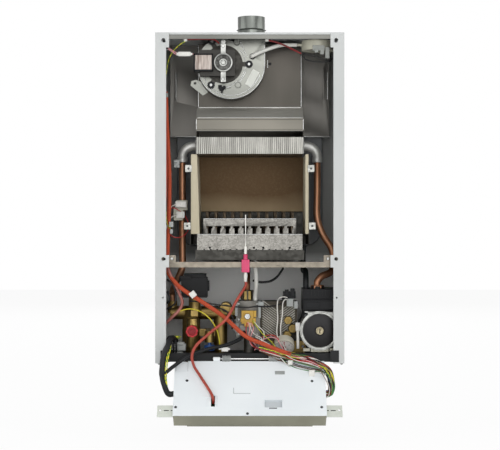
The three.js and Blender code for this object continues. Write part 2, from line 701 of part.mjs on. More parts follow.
const shelfFront = CROSSBAR_Y + SHEET + GAP;
const returnShelf = [CASE_SIDE - 19, -186];
const flowShelf = [FLOW_PIPE_X, ELBOW_Y];
const gasShelf = [GAS_PIPE_X, MANIFOLD_Y];
const vesselHoseY = (VESSEL_FRONT_Y + VESSEL_BACK_Y) / 2;
const shelfHoles = [
  [...flowShelf, PIPE_RADIUS + PIPE_CLEARANCE],
  [...returnShelf, PIPE_RADIUS + PIPE_CLEARANCE],
  [...gasShelf, GAS_PIPE_RADIUS + PIPE_CLEARANCE],
  [REFERENCE_HOSE_X, REFERENCE_HOSE_Y - 16, REFERENCE_HOSE_RADIUS + PIPE_CLEARANCE],
  [VESSEL_NIPPLE_X, vesselHoseY, VESSEL_HOSE_RADIUS + PIPE_CLEARANCE],
].map(([x, y, radius]) => post(x, y, radius, shelfBottom - 1, shelfBottom + SHEET + 1));
const sleeveNotch = box(-186, -164, shelfFront - 1, shelfFront + 20,
  shelfBottom - 1, shelfBottom + SHEET + 1);
add(
  'chamber_shelf',
  cut(
    box(-inside, inside, shelfFront, -SHEET - GAP, shelfBottom, shelfBottom + SHEET),
    ...shelfHoles,
    sleeveNotch,
  ),
  GALVANISED,
);

// ---------------------------------------------------------------- flue spigot
// A turned collar on a flat flange, open right through, with a raised bead near its foot.
const spigotFoot = CASE_HEIGHT + GAP;
const spigotInner = SPIGOT_RADIUS - SPIGOT_WALL;
const spigotProfile = [
  [spigotInner, spigotFoot],
  [SPIGOT_FLANGE_RADIUS, spigotFoot],
  [SPIGOT_FLANGE_RADIUS, spigotFoot + SHEET],
  [SPIGOT_RADIUS, spigotFoot + SHEET],
  [SPIGOT_RADIUS, spigotFoot + SPIGOT_BEAD_HEIGHT - 1.5],
  [SPIGOT_BEAD_RADIUS, spigotFoot + SPIGOT_BEAD_HEIGHT],
  [SPIGOT_RADIUS, spigotFoot + SPIGOT_BEAD_HEIGHT + 1.5],
  [SPIGOT_RADIUS, spigotFoot + SPIGOT_HEIGHT],
  [spigotInner, spigotFoot + SPIGOT_HEIGHT],
  [spigotInner, spigotFoot],
].map(([r, z]) => new THREE.Vector2(r, z));
const spigot = new THREE.LatheGeometry(spigotProfile, 24);
add('flue_spigot', solid(spigot.rotateX(Math.PI / 2).translate(SPIGOT_X, SPIGOT_Y, 0)), BRIGHT_STEEL);

// ---------------------------------------------------------------- fume hood
// A folded hood over the fins: a skirt, a slope and the upright plate that carries the fan.
const finsTop = CHAMBER_TOP_Z + GAP + FINS_HEIGHT;
const hoodFoot = finsTop + GAP;
const lowerHood = (inset, foot) => [
  [HOOD_FRONT_Y + inset, foot],
  [HOOD_FRONT_Y + inset, HOOD_SKIRT_TOP - inset],
  [HOOD_PLATE_Y + inset, HOOD_PLATE_BOTTOM - inset],
  [HOOD_BACK_Y - inset, HOOD_PLATE_BOTTOM - inset],
  [HOOD_BACK_Y - inset, foot],
];
const upperHood = (inset, foot) => [
  [HOOD_PLATE_Y + inset, foot],
  [HOOD_PLATE_Y + inset, HOOD_TOP_Z - inset],
  [HOOD_BACK_Y - inset, HOOD_TOP_Z - inset],
  [HOOD_BACK_Y - inset, foot],
];
const hoodShell = join(
  profileYZ(lowerHood(0, hoodFoot), -HOOD_HALF_WIDTH, HOOD_HALF_WIDTH),
  profileYZ(upperHood(0, HOOD_PLATE_BOTTOM - 20), -HOOD_TOP_HALF_WIDTH, HOOD_TOP_HALF_WIDTH),
  box(-HOOD_HALF_WIDTH, HOOD_HALF_WIDTH, HOOD_FRONT_Y - 2, HOOD_FRONT_Y + 1,
    HOOD_SKIRT_BOTTOM, HOOD_SKIRT_BOTTOM + HOOD_EDGE),
  box(-HOOD_HALF_WIDTH, HOOD_HALF_WIDTH, HOOD_FRONT_Y - 2, HOOD_FRONT_Y + 1,
    HOOD_SKIRT_TOP - HOOD_EDGE, HOOD_SKIRT_TOP),
);
add(
  'fume_hood',
  cut(
    hoodShell,
    profileYZ(lowerHood(SHEET, hoodFoot - 1), -HOOD_HALF_WIDTH + SHEET, HOOD_HALF_WIDTH - SHEET),
    profileYZ(
      upperHood(SHEET, HOOD_PLATE_BOTTOM - 30),
      -HOOD_TOP_HALF_WIDTH + SHEET,
      HOOD_TOP_HALF_WIDTH - SHEET,
    ),
    box(-HOOD_HALF_WIDTH + SHEET, HOOD_HALF_WIDTH - SHEET, HOOD_FRONT_Y - 3, HOOD_FRONT_Y + 3,
      hoodFoot - 1, HOOD_SKIRT_BOTTOM),
    barrel(FAN_X, FAN_Z, SCROLL_INLET_RADIUS, HOOD_PLATE_Y - 1, HOOD_PLATE_Y + 3),
  ),
  GALVANISED,
);

// The liner behind the fan: a flat sheet with a forward lip at its foot and two pressed ribs.
const baffleRib = (x) => profileYZ(
  [
    [BAFFLE_Y - 3, CASE_HEIGHT - 120],
    [BAFFLE_Y + 0.5, CASE_HEIGHT - 130],
    [BAFFLE_Y + 0.5, CASE_HEIGHT - 50],
    [BAFFLE_Y - 3, CASE_HEIGHT - 60],
  ],
  x - 3,
  x + 3,
);
add(
  'rear_baffle',
  join(
    box(-BAFFLE_HALF_WIDTH, BAFFLE_HALF_WIDTH, BAFFLE_Y, BAFFLE_Y + SHEET, BAFFLE_BOTTOM_Z, underTop - GAP),
    box(-BAFFLE_HALF_WIDTH, BAFFLE_HALF_WIDTH, BAFFLE_Y - BAFFLE_LIP, BAFFLE_Y + SHEET,
      BAFFLE_BOTTOM_Z, BAFFLE_BOTTOM_Z + SHEET),
    baffleRib(-BAFFLE_RIB_X),
    baffleRib(BAFFLE_RIB_X),
  ).subtract(
    solid(box(-HOOD_HALF_WIDTH - GAP, HOOD_HALF_WIDTH + GAP, BAFFLE_Y - BAFFLE_LIP - 1, BAFFLE_Y - 0.01,
      BAFFLE_BOTTOM_Z - 1, BAFFLE_BOTTOM_Z + SHEET + 1)),
  ),
  SHADED_STEEL,
);

// ---------------------------------------------------------------- fan
// The volute grows from its smallest radius at the tongue to its largest at the outlet.
const scrollBack = HOOD_PLATE_Y - GAP;
function scrollRadius(degrees) {
  const t = Math.min(1, Math.max(0, (degrees - 180) / 180));
  return SCROLL_MIN_RADIUS + (SCROLL_MAX_RADIUS - SCROLL_MIN_RADIUS) * t * t * (3 - 2 * t);
}
function scrollOutline(inset) {
  const points = [];
  for (let degrees = 90; degrees <= 360; degrees += 10) {
    const r = scrollRadius(degrees) - inset;
    points.push([FAN_X + r * Math.cos(degrees * RAD), FAN_Z + r * Math.sin(degrees * RAD)]);
  }
  return points;
}
const outletRight = FAN_X + SCROLL_MAX_RADIUS;
const scrollTop = underTop;
const scrollShell = (inset, top, y0, y1) => join(
  plateXZ(scrollOutline(inset).concat([[FAN_X, FAN_Z + 1]]), y0, y1),
  plateXZ(
    [
      [FAN_X, FAN_Z],
      [outletRight - inset, FAN_Z - 1],
      [outletRight - inset, top],
      [OUTLET_LEFT_X + inset, top],
      [OUTLET_LEFT_X + inset, FAN_Z + SCROLL_MIN_RADIUS - inset - 12],
      [FAN_X, FAN_Z + SCROLL_MIN_RADIUS - inset],
    ],
    y0,
    y1,
  ),
);
const lug = plateXZ(
  [
    [-35.5, -57],
    [-46.5, -63],
    [-54.5, -56],
    [-73.5, -41],
    [-71.5, -31],
    [-61.5, -28],
    [-48.5, -33],
    [-38.5, -27],
  ].map(([x, z]) => [FAN_X + x, FAN_Z + z]),
  scrollBack - 3,
  scrollBack,
);
add(
  'fan_scroll',
  cut(
    join(
      scrollShell(0, scrollTop, SCROLL_FRONT_Y, scrollBack),
      lug,
      barrel(HOSE_START_X, HOSE_START_Z, HOSE_RADIUS - 1, SCROLL_FRONT_Y - 4, SCROLL_FRONT_Y + 0.5, 12),
    ),
    scrollShell(SHEET, scrollTop + 1, SCROLL_FRONT_Y + SHEET, scrollBack - SHEET),
    barrel(FAN_X, FAN_Z, SCROLL_INLET_RADIUS, scrollBack - SHEET - 1, scrollBack + 1),
    barrel(FAN_X, FAN_Z, SCROLL_MOTOR_RADIUS, SCROLL_FRONT_Y - 1, SCROLL_FRONT_Y + SHEET + 1),
    barrel(FAN_X - 63.5, FAN_Z - 36, LUG_RADIUS / 3, scrollBack - 4, scrollBack + 1, 12),
  ),
  GALVANISED,
);

const plateBack = SCROLL_FRONT_Y - GAP;
const plateFront = plateBack - MOTOR_PLATE_THICKNESS;
function motorArm(x, z) {
  const angle = Math.atan2(z - FAN_Z, x - FAN_X);
  const dx = -Math.sin(angle) * MOTOR_ARM_HALF;
  const dz = Math.cos(angle) * MOTOR_ARM_HALF;
  return join(
    plateXZ(
      [
        [FAN_X - dx, FAN_Z - dz],
        [x - dx, z - dz],
        [x + dx, z + dz],
        [FAN_X + dx, FAN_Z + dz],
      ],
      plateFront,
      plateBack,
    ),
    barrel(x, z, MOTOR_EAR_RADIUS, plateFront, plateBack, 12),
  );
}
const motorPlate = cut(
  join(
    barrel(FAN_X, FAN_Z, MOTOR_PLATE_RADIUS, plateFront, plateBack, 32),
    motorArm(FAN_X + 55, FAN_Z),
    motorArm(FAN_X - 27, FAN_Z - 45),
    motorArm(FAN_X - 25, FAN_Z + 49),
  ),
  barrel(FAN_X, FAN_Z, FAN_SHAFT_RADIUS + ROTOR_CLEARANCE, plateFront - 1, plateBack + 1, 16),
);

// The shaded-pole motor: a laminated core, its coil on the left leg, and the front bearing bracket.
const coreFront = CORE_BACK_Y - CORE_THICKNESS;
const coreLeft = FAN_X - CORE_LEFT;
const windowLeft = coreLeft + CORE_LEG;
const windowRight = windowLeft + CORE_WINDOW;
const windowLow = FAN_Z - CORE_WINDOW_HALF;
const windowHigh = FAN_Z + CORE_WINDOW_HALF;
add(
  'fan_motor_core',
  cut(
    join(
      motorPlate,
      box(coreLeft, FAN_X + CORE_RIGHT, coreFront, CORE_BACK_Y,
        FAN_Z - CORE_HALF_HEIGHT, FAN_Z + CORE_HALF_HEIGHT),
      barrel(FAN_X + CORE_RIGHT - 6, FAN_Z - 20, 4, CORE_BACK_Y - 0.5, plateFront + 0.5, 12),
      barrel(FAN_X + CORE_RIGHT - 6, FAN_Z + 20, 4, CORE_BACK_Y - 0.5, plateFront + 0.5, 12),
    ),
    box(windowLeft, windowRight, coreFront - 1, CORE_BACK_Y + 1, windowLow, windowHigh),
    barrel(FAN_X, FAN_Z, ROTOR_RADIUS + ROTOR_CLEARANCE, coreFront - 1, CORE_BACK_Y + 1),
  ),
  SHADED_STEEL,
);
add(
  'fan_coil',
  cut(
    box(coreLeft - COIL_OUTSIDE, windowRight - GAP, COIL_FRONT_Y, plateFront - GAP,
      windowLow + GAP, windowHigh - GAP),
    box(coreLeft - GAP, windowLeft + GAP, coreFront - GAP, CORE_BACK_Y + GAP,
      windowLow - 1, windowHigh + 1),
  ),
  WINDING,
);
const bracketBack = coreFront - GAP;
const bracketFront = bracketBack - BRACKET_THICKNESS;
add(
  'fan_bearing_bracket',
  cut(
    join(
      box(FAN_X - BRACKET_ARM_HALF, FAN_X + BRACKET_ARM_HALF, bracketFront, bracketBack,
        FAN_Z - BRACKET_HALF_HEIGHT, FAN_Z + BRACKET_HALF_HEIGHT),
      barrel(FAN_X, FAN_Z, BRACKET_DISC_RADIUS, bracketFront, bracketBack),
    ),
    barrel(FAN_X, FAN_Z, FAN_SHAFT_RADIUS + GAP, bracketFront - 1, bracketBack + 1, 16),
    barrel(FAN_X, FAN_Z - BRACKET_HALF_HEIGHT + 6, 2.5, bracketFront - 1, bracketBack + 1, 10),
    barrel(FAN_X, FAN_Z + BRACKET_HALF_HEIGHT - 6, 2.5, bracketFront - 1, bracketBack + 1, 10),
  ),
  DIE_CAST,
);

// The impeller has a back disc, a ring of blades and an end ring, on one shaft with the rotor.
const impellerFront = SCROLL_FRONT_Y + SHEET + 2;
const impellerBack = scrollBack - SHEET - IMPELLER_END_CLEARANCE;
const wheelBack = bracketFront - GAP;
const wheelFront = wheelBack - WHEEL_THICKNESS;
const blades = [];
for (let i = 0; i < IMPELLER_BLADES; i++) {
  const blade = new THREE.BoxGeometry(IMPELLER_BLADE, impellerBack - impellerFront, SHEET);
  blade.translate(IMPELLER_RADIUS - IMPELLER_BLADE / 2 - 0.5, 0, 0);
  blade.rotateY((2 * Math.PI * i) / IMPELLER_BLADES);
  blades.push(blade.translate(FAN_X, (impellerFront + impellerBack) / 2, FAN_Z));
}
const endRing = cut(
  barrel(FAN_X, FAN_Z, IMPELLER_RADIUS, impellerBack - SHEET, impellerBack),
  barrel(FAN_X, FAN_Z, IMPELLER_RADIUS - IMPELLER_BLADE, impellerBack - 3, impellerBack + 1),
);
add(
  'fan_impeller',
  join(
    barrel(FAN_X, FAN_Z, IMPELLER_RADIUS, impellerFront, impellerFront + SHEET),
    ...blades,
    endRing,
    barrel(FAN_X, FAN_Z, FAN_SHAFT_RADIUS, wheelFront, impellerFront + 1, 16),
    barrel(FAN_X, FAN_Z, ROTOR_RADIUS, coreFront + GAP, CORE_BACK_Y - GAP),
  ),
  GALVANISED,
);
const vanes = [];
for (let i = 0; i < WHEEL_VANES; i++) {
  const vane = new THREE.BoxGeometry(WHEEL_RADIUS - 6, WHEEL_THICKNESS - 1, 1.6);
  vane.translate(5 + (WHEEL_RADIUS - 6) / 2, 0, 0);
  vane.rotateY((2 * Math.PI * (i + 0.5)) / WHEEL_VANES);
  vanes.push(vane.translate(FAN_X, wheelFront + (WHEEL_THICKNESS - 1) / 2, FAN_Z));
}
add(
  'fan_cooling_wheel',
  cut(
    join(
      barrel(FAN_X, FAN_Z, WHEEL_RADIUS, wheelBack - 1.5, wheelBack),
      barrel(FAN_X, FAN_Z, 7, wheelFront, wheelBack - 1, 16),
      ...vanes,
    ),
    barrel(FAN_X, FAN_Z, FAN_SHAFT_RADIUS + GAP, wheelFront - 1, wheelBack + 1, 16),
  ),
  DIE_CAST,
);

// ---------------------------------------------------------------- air pressure switch
const bracketTop = SWITCH_Z + SHEET;
const bracketEdge = inside - GAP;
const bracketNear = SWITCH_Y - SWITCH_BRACKET_DEPTH / 2;
const bracketFar = SWITCH_Y + SWITCH_BRACKET_DEPTH / 2;
const switchBracket = join(
  box(SWITCH_X - 24, bracketEdge, bracketNear, bracketFar, bracketTop - SHEET, bracketTop),
  box(bracketEdge - SHEET, bracketEdge, bracketNear, bracketFar,
    bracketTop - SWITCH_BRACKET_DROP, bracketTop),
);
const nippleTip = SWITCH_X - SWITCH_RADIUS - 10;
add(
  'air_pressure_switch',
  join(
    switchBracket,
    post(SWITCH_X, SWITCH_Y, SWITCH_RADIUS, SWITCH_Z, SWITCH_Z + SWITCH_HEIGHT, 32),
    spar(SWITCH_Y, SWITCH_NIPPLE_Z, SWITCH_NIPPLE_RADIUS, nippleTip, SWITCH_X - SWITCH_RADIUS + 3, 12),
  ),
  GREY_PLASTIC,
);
add(
  'pressure_hose',
  solid(
    run(
      [
        [HOSE_START_X, SCROLL_FRONT_Y - 4 - GAP, HOSE_START_Z],
        [HOSE_START_X, SCROLL_FRONT_Y - 12, HOSE_START_Z],
        [HOSE_START_X + 30, SCROLL_FRONT_Y - 13, HOSE_START_Z + 13],
        [HOSE_START_X + 60, SWITCH_Y - 8, SWITCH_NIPPLE_Z - 2],
        [nippleTip - 14, SWITCH_Y, SWITCH_NIPPLE_Z],
        [nippleTip - GAP, SWITCH_Y, SWITCH_NIPPLE_Z],
      ],
      HOSE_RADIUS,
      8,
      16,
    ),
  ),
  SILICONE,
);

// ---------------------------------------------------------------- heat exchanger
// A comb of fins between two end plates, with a brazed elbow at each side.
const finsBottom = CHAMBER_TOP_Z + GAP;
const finsFront = CHAMBER_FRONT_Y;
const finPitch = (2 * FINS_HALF_WIDTH) / FIN_COUNT;
const finWidth = finPitch * FIN_SHARE;
const comb = [[FINS_HALF_WIDTH, FINS_BACK_Y], [-FINS_HALF_WIDTH, FINS_BACK_Y]];
for (let i = 0; i < FIN_COUNT; i++) {
  const x = -FINS_HALF_WIDTH + i * finPitch;
  const last = i === FIN_COUNT - 1;
  comb.push([x, finsFront]);
  comb.push([last ? FINS_HALF_WIDTH : x + finWidth, finsFront]);
  if (!last) {
    comb.push([x + finWidth, finsFront + FIN_SLOT_DEPTH]);
    comb.push([x + finPitch, finsFront + FIN_SLOT_DEPTH]);
  }
}
function elbow(side) {
  const endX = side * Math.abs(FLOW_PIPE_X);
  return run(
    [
      [side * (FINS_HALF_WIDTH - 2), ELBOW_Y, ELBOW_Z],
      [endX - side * ELBOW_BEND, ELBOW_Y, ELBOW_Z],
      [endX - side * ELBOW_BEND * 0.3, ELBOW_Y, ELBOW_Z - ELBOW_BEND * 0.3],
      [endX, ELBOW_Y, ELBOW_Z - ELBOW_BEND],
      [endX, ELBOW_Y, ELBOW_END_Z],
    ],
    ELBOW_RADIUS,
    12,
    10,
  );
}
const collarTop = ELBOW_END_Z + 12;
add(
  'heat_exchanger',
  join(
    planXY(comb, finsBottom, finsTop),
    box(-CHAMBER_HALF_WIDTH + 2, CHAMBER_HALF_WIDTH - 2, finsFront + 62, FINS_BACK_Y,
      finsBottom, finsBottom + 2),
    elbow(-1),
    elbow(1),
    post(FLOW_PIPE_X, ELBOW_Y, COLLAR_RADIUS, ELBOW_END_Z, collarTop),
    post(RETURN_PIPE_X, ELBOW_Y, COLLAR_RADIUS, ELBOW_END_Z, collarTop),
  ),
  SILVERED,
);

// ---------------------------------------------------------------- combustion chamber
const chamberInner = CHAMBER_HALF_WIDTH - SHEET;
const chamberTab = (side, z) => box(
  Math.min(side * chamberInner, side * (CHAMBER_HALF_WIDTH + CHAMBER_TAB_REACH)),
  Math.max(side * chamberInner, side * (CHAMBER_HALF_WIDTH + CHAMBER_TAB_REACH)),
  CHAMBER_FRONT_Y,
  CHAMBER_FRONT_Y + SHEET,
  z - CHAMBER_TAB_HEIGHT / 2,
  z + CHAMBER_TAB_HEIGHT / 2,
);
add(
  'combustion_chamber',
  join(
    cut(
      box(-CHAMBER_HALF_WIDTH, CHAMBER_HALF_WIDTH, CHAMBER_FRONT_Y, CHAMBER_BACK_Y,
        CHAMBER_BOTTOM_Z, CHAMBER_TOP_Z),
      box(-chamberInner, chamberInner, CHAMBER_FRONT_Y - 1, CHAMBER_BACK_Y - SHEET,
        CHAMBER_BOTTOM_Z - 1, CHAMBER_TOP_Z + 1),
    ),
    chamberTab(-1, CHAMBER_UPPER_TAB_Z),
    chamberTab(1, CHAMBER_UPPER_TAB_Z),
    chamberTab(-1, CHAMBER_LOWER_TAB_Z),
    chamberTab(1, CHAMBER_LOWER_TAB_Z),
  ),
  SHADED_STEEL,
);
const boardBack = CHAMBER_BACK_Y - SHEET - GAP;
const boardFront = boardBack - INSULATION_BACK;
const boardEdge = chamberInner - GAP;
const boardTop = CHAMBER_TOP_Z - GAP;
const boardBottom = SUPPORT_TOP_Z + GAP;
add(
  'insulation_back',
  box(-boardEdge, boardEdge, boardFront, boardBack, BLADE_TOP_Z + 2, boardTop),
  SCORCHED,
);
add(
  'insulation_left',
  plateXZ(
    [
      [-boardEdge, boardBottom],
      [-boardEdge + INSULATION_LEFT_BOTTOM, boardBottom],
      [-boardEdge + INSULATION_LEFT_TOP, boardTop],
      [-boardEdge, boardTop],
    ],
    CHAMBER_FRONT_Y + 1,
    boardFront - GAP,
  ),
  INSULATION,
);
add(
  'insulation_right',
  box(boardEdge - INSULATION_RIGHT, boardEdge, CHAMBER_FRONT_Y + 1, boardFront - GAP,
    boardBottom, boardTop),
  INSULATION,
);

// ---------------------------------------------------------------- burner
// Eleven ramps side by side behind a front plate with ten air windows.
const ramps = [];
for (let i = 0; i < BLADE_COUNT; i++) {
  const x = (i - (BLADE_COUNT - 1) / 2) * BLADE_PITCH;
  ramps.push(
    box(x - BLADE_WIDTH / 2, x + BLADE_WIDTH / 2, BURNER_FRONT_Y + SHEET, BURNER_BACK_Y - 1,
      BURNER_BOTTOM_Z + 1, BLADE_TOP_Z),
  );
}
const windowBottom = WINDOW_TOP_Z - WINDOW_HEIGHT;
const barBottom = WINDOW_TOP_Z - WINDOW_BAR_HEIGHT;
const windows = [];
for (let i = 0; i < WINDOW_COUNT; i++) {
  const x = (i - (WINDOW_COUNT - 1) / 2) * WINDOW_PITCH;
  windows.push(
    plateXZ(
      [
        [x - WINDOW_BAR_WIDTH / 2, WINDOW_TOP_Z],
        [x - WINDOW_BAR_WIDTH / 2, barBottom],
        [x - WINDOW_STEM_WIDTH / 2, barBottom],
        [x - WINDOW_STEM_WIDTH / 2, windowBottom],
        [x + WINDOW_STEM_WIDTH / 2, windowBottom],
        [x + WINDOW_STEM_WIDTH / 2, barBottom],
        [x + WINDOW_BAR_WIDTH / 2, barBottom],
        [x + WINDOW_BAR_WIDTH / 2, WINDOW_TOP_Z],
      ],
      BURNER_FRONT_Y - 1,
      BURNER_FRONT_Y + SHEET + 1,
    ),
  );
}
const burnerPlate = cut(
  box(-BURNER_HALF_WIDTH, BURNER_HALF_WIDTH, BURNER_FRONT_Y, BURNER_FRONT_Y + SHEET,
    BURNER_BOTTOM_Z, BURNER_TOP_Z),
  ...windows,
);
const supportHoles = [-86, -9, 9, 29, 86].map((x) =>
  barrel(x, SUPPORT_BOTTOM_Z + 5, 2.6, SUPPORT_FRONT_Y - 1, SUPPORT_FRONT_Y + SHEET + 1, 10),
);
const supportPlate = cut(
  box(-SUPPORT_HALF_WIDTH, SUPPORT_HALF_WIDTH, SUPPORT_FRONT_Y, BURNER_FRONT_Y + SHEET / 2,
    SUPPORT_BOTTOM_Z, SUPPORT_TOP_Z),
  box(-SUPPORT_HALF_WIDTH - 1, SUPPORT_HALF_WIDTH + 1, SUPPORT_FRONT_Y + SHEET, BURNER_FRONT_Y + SHEET,
    SUPPORT_BOTTOM_Z - 1, BURNER_BOTTOM_Z + 2),
  ...supportHoles,
);
add(
  'burner',
  join(
    burnerPlate,
    supportPlate,
    ...ramps,
    box(-BURNER_HALF_WIDTH, BURNER_HALF_WIDTH, BURNER_BACK_Y - 6, BURNER_BACK_Y,
      BURNER_BOTTOM_Z, BURNER_TOP_Z),
    box(-BURNER_HALF_WIDTH, BURNER_HALF_WIDTH, BURNER_FRONT_Y + SHEET / 2, BURNER_FRONT_Y + 10,
      BURNER_TOP_Z - 2 * SHEET, BURNER_TOP_Z - SHEET),
  ),
  GALVANISED,
);
const gutterTop = SUPPORT_BOTTOM_Z - GAP;
add(
  'burner_tray',
  cut(
    box(-GUTTER_HALF_WIDTH, GUTTER_HALF_WIDTH, GUTTER_FRONT_Y, GUTTER_BACK_Y, GUTTER_BOTTOM_Z, gutterTop),
    box(-GUTTER_HALF_WIDTH + SHEET, GUTTER_HALF_WIDTH - SHEET, GUTTER_FRONT_Y + SHEET, GUTTER_BACK_Y - SHEET,
      GUTTER_BOTTOM_Z + SHEET, gutterTop + 1),
    post(GAS_PIPE_X, MANIFOLD_Y, GAS_PIPE_RADIUS + 1, GUTTER_BOTTOM_Z - 1, GUTTER_BOTTOM_Z + SHEET + 1),
  ),
  GALVANISED,
);

// The gas manifold stands behind the ramps with one injector for each.
const injectors = [];
for (let i = 0; i < BLADE_COUNT; i++) {
  const x = (i - (BLADE_COUNT - 1) / 2) * BLADE_PITCH;
  injectors.push(barrel(x, MANIFOLD_Z, INJECTOR_RADIUS, BURNER_BACK_Y + GAP, MANIFOLD_Y, 6));
}
add(
  'gas_manifold',
  join(
    box(-MANIFOLD_HALF_WIDTH, MANIFOLD_HALF_WIDTH, MANIFOLD_Y - MANIFOLD_HALF, MANIFOLD_Y + MANIFOLD_HALF,
      MANIFOLD_Z - MANIFOLD_HALF, MANIFOLD_Z + MANIFOLD_HALF),
    ...injectors,
  ),
  DIE_CAST,
);

// ---------------------------------------------------------------- ignition electrode
add(
  'ignition_electrode',
  join(
    post(ELECTRODE_X, ELECTRODE_Y, ELECTRODE_RADIUS, CERAMIC_BOTTOM_Z, CERAMIC_TOP_Z, 12),
    run(
      [
        [ELECTRODE_X, ELECTRODE_Y, CERAMIC_TOP_Z - 2],
        [ELECTRODE_X, ELECTRODE_Y + 6, CERAMIC_TOP_Z + 12],
        [ELECTRODE_X, SUPPORT_FRONT_Y - 4, SUPPORT_TOP_Z + 2],
        [ELECTRODE_X, SUPPORT_FRONT_Y - 4, BURNER_TOP_Z + 8],
      ],
      ELECTRODE_PIN_RADIUS,
      6,
      12,
    ),
  ),
  CERAMIC,
);
add(
  'electrode_cap',
  join(
    post(ELECTRODE_X, ELECTRODE_Y, CAP_NECK_RADIUS, CAP_NECK_Z - 2, CERAMIC_BOTTOM_Z - GAP, 12),
    box(ELECTRODE_X - CAP_HALF_WIDTH, ELECTRODE_X + CAP_HALF_WIDTH, ELECTRODE_Y - CAP_HALF_DEPTH,
      ELECTRODE_Y + CAP_HALF_DEPTH, CAP_BOTTOM_Z, CAP_NECK_Z),
    box(ELECTRODE_X - TERMINAL_HALF, ELECTRODE_X + TERMINAL_HALF, ELECTRODE_Y - TERMINAL_HALF,
      ELECTRODE_Y + TERMINAL_HALF, TERMINAL_BOTTOM_Z, CAP_BOTTOM_Z + 1),
  ),
  MAGENTA,
);

// ---------------------------------------------------------------- upper pipes
const pipeTop = ELBOW_END_Z - GAP;
const flowPort = [FLOW_PORT_X, PIPE_ROW_Y];
add(
  'flow_pipe',
  solid(
    run(
      [
        [FLOW_PIPE_X, ELBOW_Y, pipeTop],
        [FLOW_PIPE_X, ELBOW_Y, (ELBOW_END_Z + SHELF_Z + 46) / 2],
        [FLOW_PIPE_X, ELBOW_Y, SHELF_Z + 36],
        [FLOW_PIPE_X, ELBOW_Y, SHELF_Z],
        [FLOW_PIPE_X - 4, ELBOW_Y + 2, SHELF_Z - 16],
        [FLOW_PORT_X + 6, PIPE_ROW_Y - 22, FLOW_TOP_Z + 36],
        [...flowPort, FLOW_TOP_Z + 18],
        [...flowPort, FLOW_TOP_Z + GAP],
      ],
      PIPE_RADIUS,
      10,
      24,
    ),
  ),
  COPPER,
);
const unionTop = PUMP_HEAD_TOP + PUMP_UNION_HEIGHT;
add(
  'return_pipe',
  solid(
    run(
      [
        [RETURN_PIPE_X, ELBOW_Y, pipeTop],
        [RETURN_PIPE_X, ELBOW_Y, (ELBOW_END_Z + SHELF_Z + 106) / 2],
        [RETURN_PIPE_X, ELBOW_Y, SHELF_Z + 106],
        [RETURN_PIPE_X + 12, ELBOW_Y - 6, SHELF_Z + 68],
        [returnShelf[0] - 3, returnShelf[1] + 6, SHELF_Z + 38],
        [returnShelf[0], returnShelf[1], SHELF_Z + 18],
        [returnShelf[0], returnShelf[1], SHELF_Z],
        [returnShelf[0] - 6, returnShelf[1] - 8, SHELF_Z - 14],
        [PUMP_UNION_X + 10, PUMP_UNION_Y + 4, SHELF_Z - 22],
        [PUMP_UNION_X, PUMP_UNION_Y, unionTop + 9],
        [PUMP_UNION_X, PUMP_UNION_Y, unionTop + GAP],
      ],
      PIPE_RADIUS,
      10,
      28,
    ),
  ),
  COPPER,
);
add(
  'flow_thermostat',
  cut(
    join(
      box(FLOW_PIPE_X - SENSOR_HALF, FLOW_PIPE_X + SENSOR_HALF, ELBOW_Y - SENSOR_HALF - 8, ELBOW_Y,
        SENSOR_Z + 22, SENSOR_Z + SENSOR_HEIGHT),
      box(FLOW_PIPE_X - SENSOR_HALF - 6, FLOW_PIPE_X + 2, ELBOW_Y - SENSOR_HALF - 10,
        ELBOW_Y - PIPE_RADIUS - 2, SENSOR_Z, SENSOR_Z + 26),
    ),
    post(FLOW_PIPE_X, ELBOW_Y, PIPE_RADIUS + GAP, SENSOR_Z - 1, SENSOR_Z + SENSOR_HEIGHT + 1),
  ),
  GREY_PLASTIC,
);

// ---------------------------------------------------------------- expansion vessel
function roundedOutline(halfWidth, low, high, corner) {
  const points = [];
  const centres = [
    [halfWidth - corner, high - corner, 0],
    [-halfWidth + corner, high - corner, 90],
    [-halfWidth + corner, low + corner, 180],
    [halfWidth - corner, low + corner, 270],
  ];
  for (const [x, z, start] of centres) {
    for (let i = 0; i <= 4; i++) {
      const angle = (start + (90 * i) / 4) * RAD;
      points.push([x + corner * Math.cos(angle), z + corner * Math.sin(angle)]);
    }
  }
  return points;
}
const vesselShell = (inset) => plateXZ(
  roundedOutline(
    VESSEL_HALF_WIDTH - inset,
    VESSEL_BOTTOM_Z + inset,
    VESSEL_TOP_Z - inset,
    VESSEL_CORNER - inset,
  ),
  VESSEL_FRONT_Y + inset,
  VESSEL_BACK_Y - inset,
);
const vesselNippleEnd = VESSEL_BOTTOM_Z - VESSEL_NIPPLE_LENGTH;
add(
  'expansion_vessel',
  cut(
    join(
      vesselShell(0),
      post(VESSEL_NIPPLE_X, vesselHoseY, VESSEL_NIPPLE_RADIUS, vesselNippleEnd, VESSEL_BOTTOM_Z + 1, 16),
    ),
    vesselShell(VESSEL_WALL),
    post(VESSEL_NIPPLE_X, vesselHoseY, VESSEL_NIPPLE_BORE, vesselNippleEnd - 1, VESSEL_BOTTOM_Z + 5, 16),
  ),
  VESSEL_GREY,
);
const hoseHead = PUMP_HEAD_TOP + GAP;
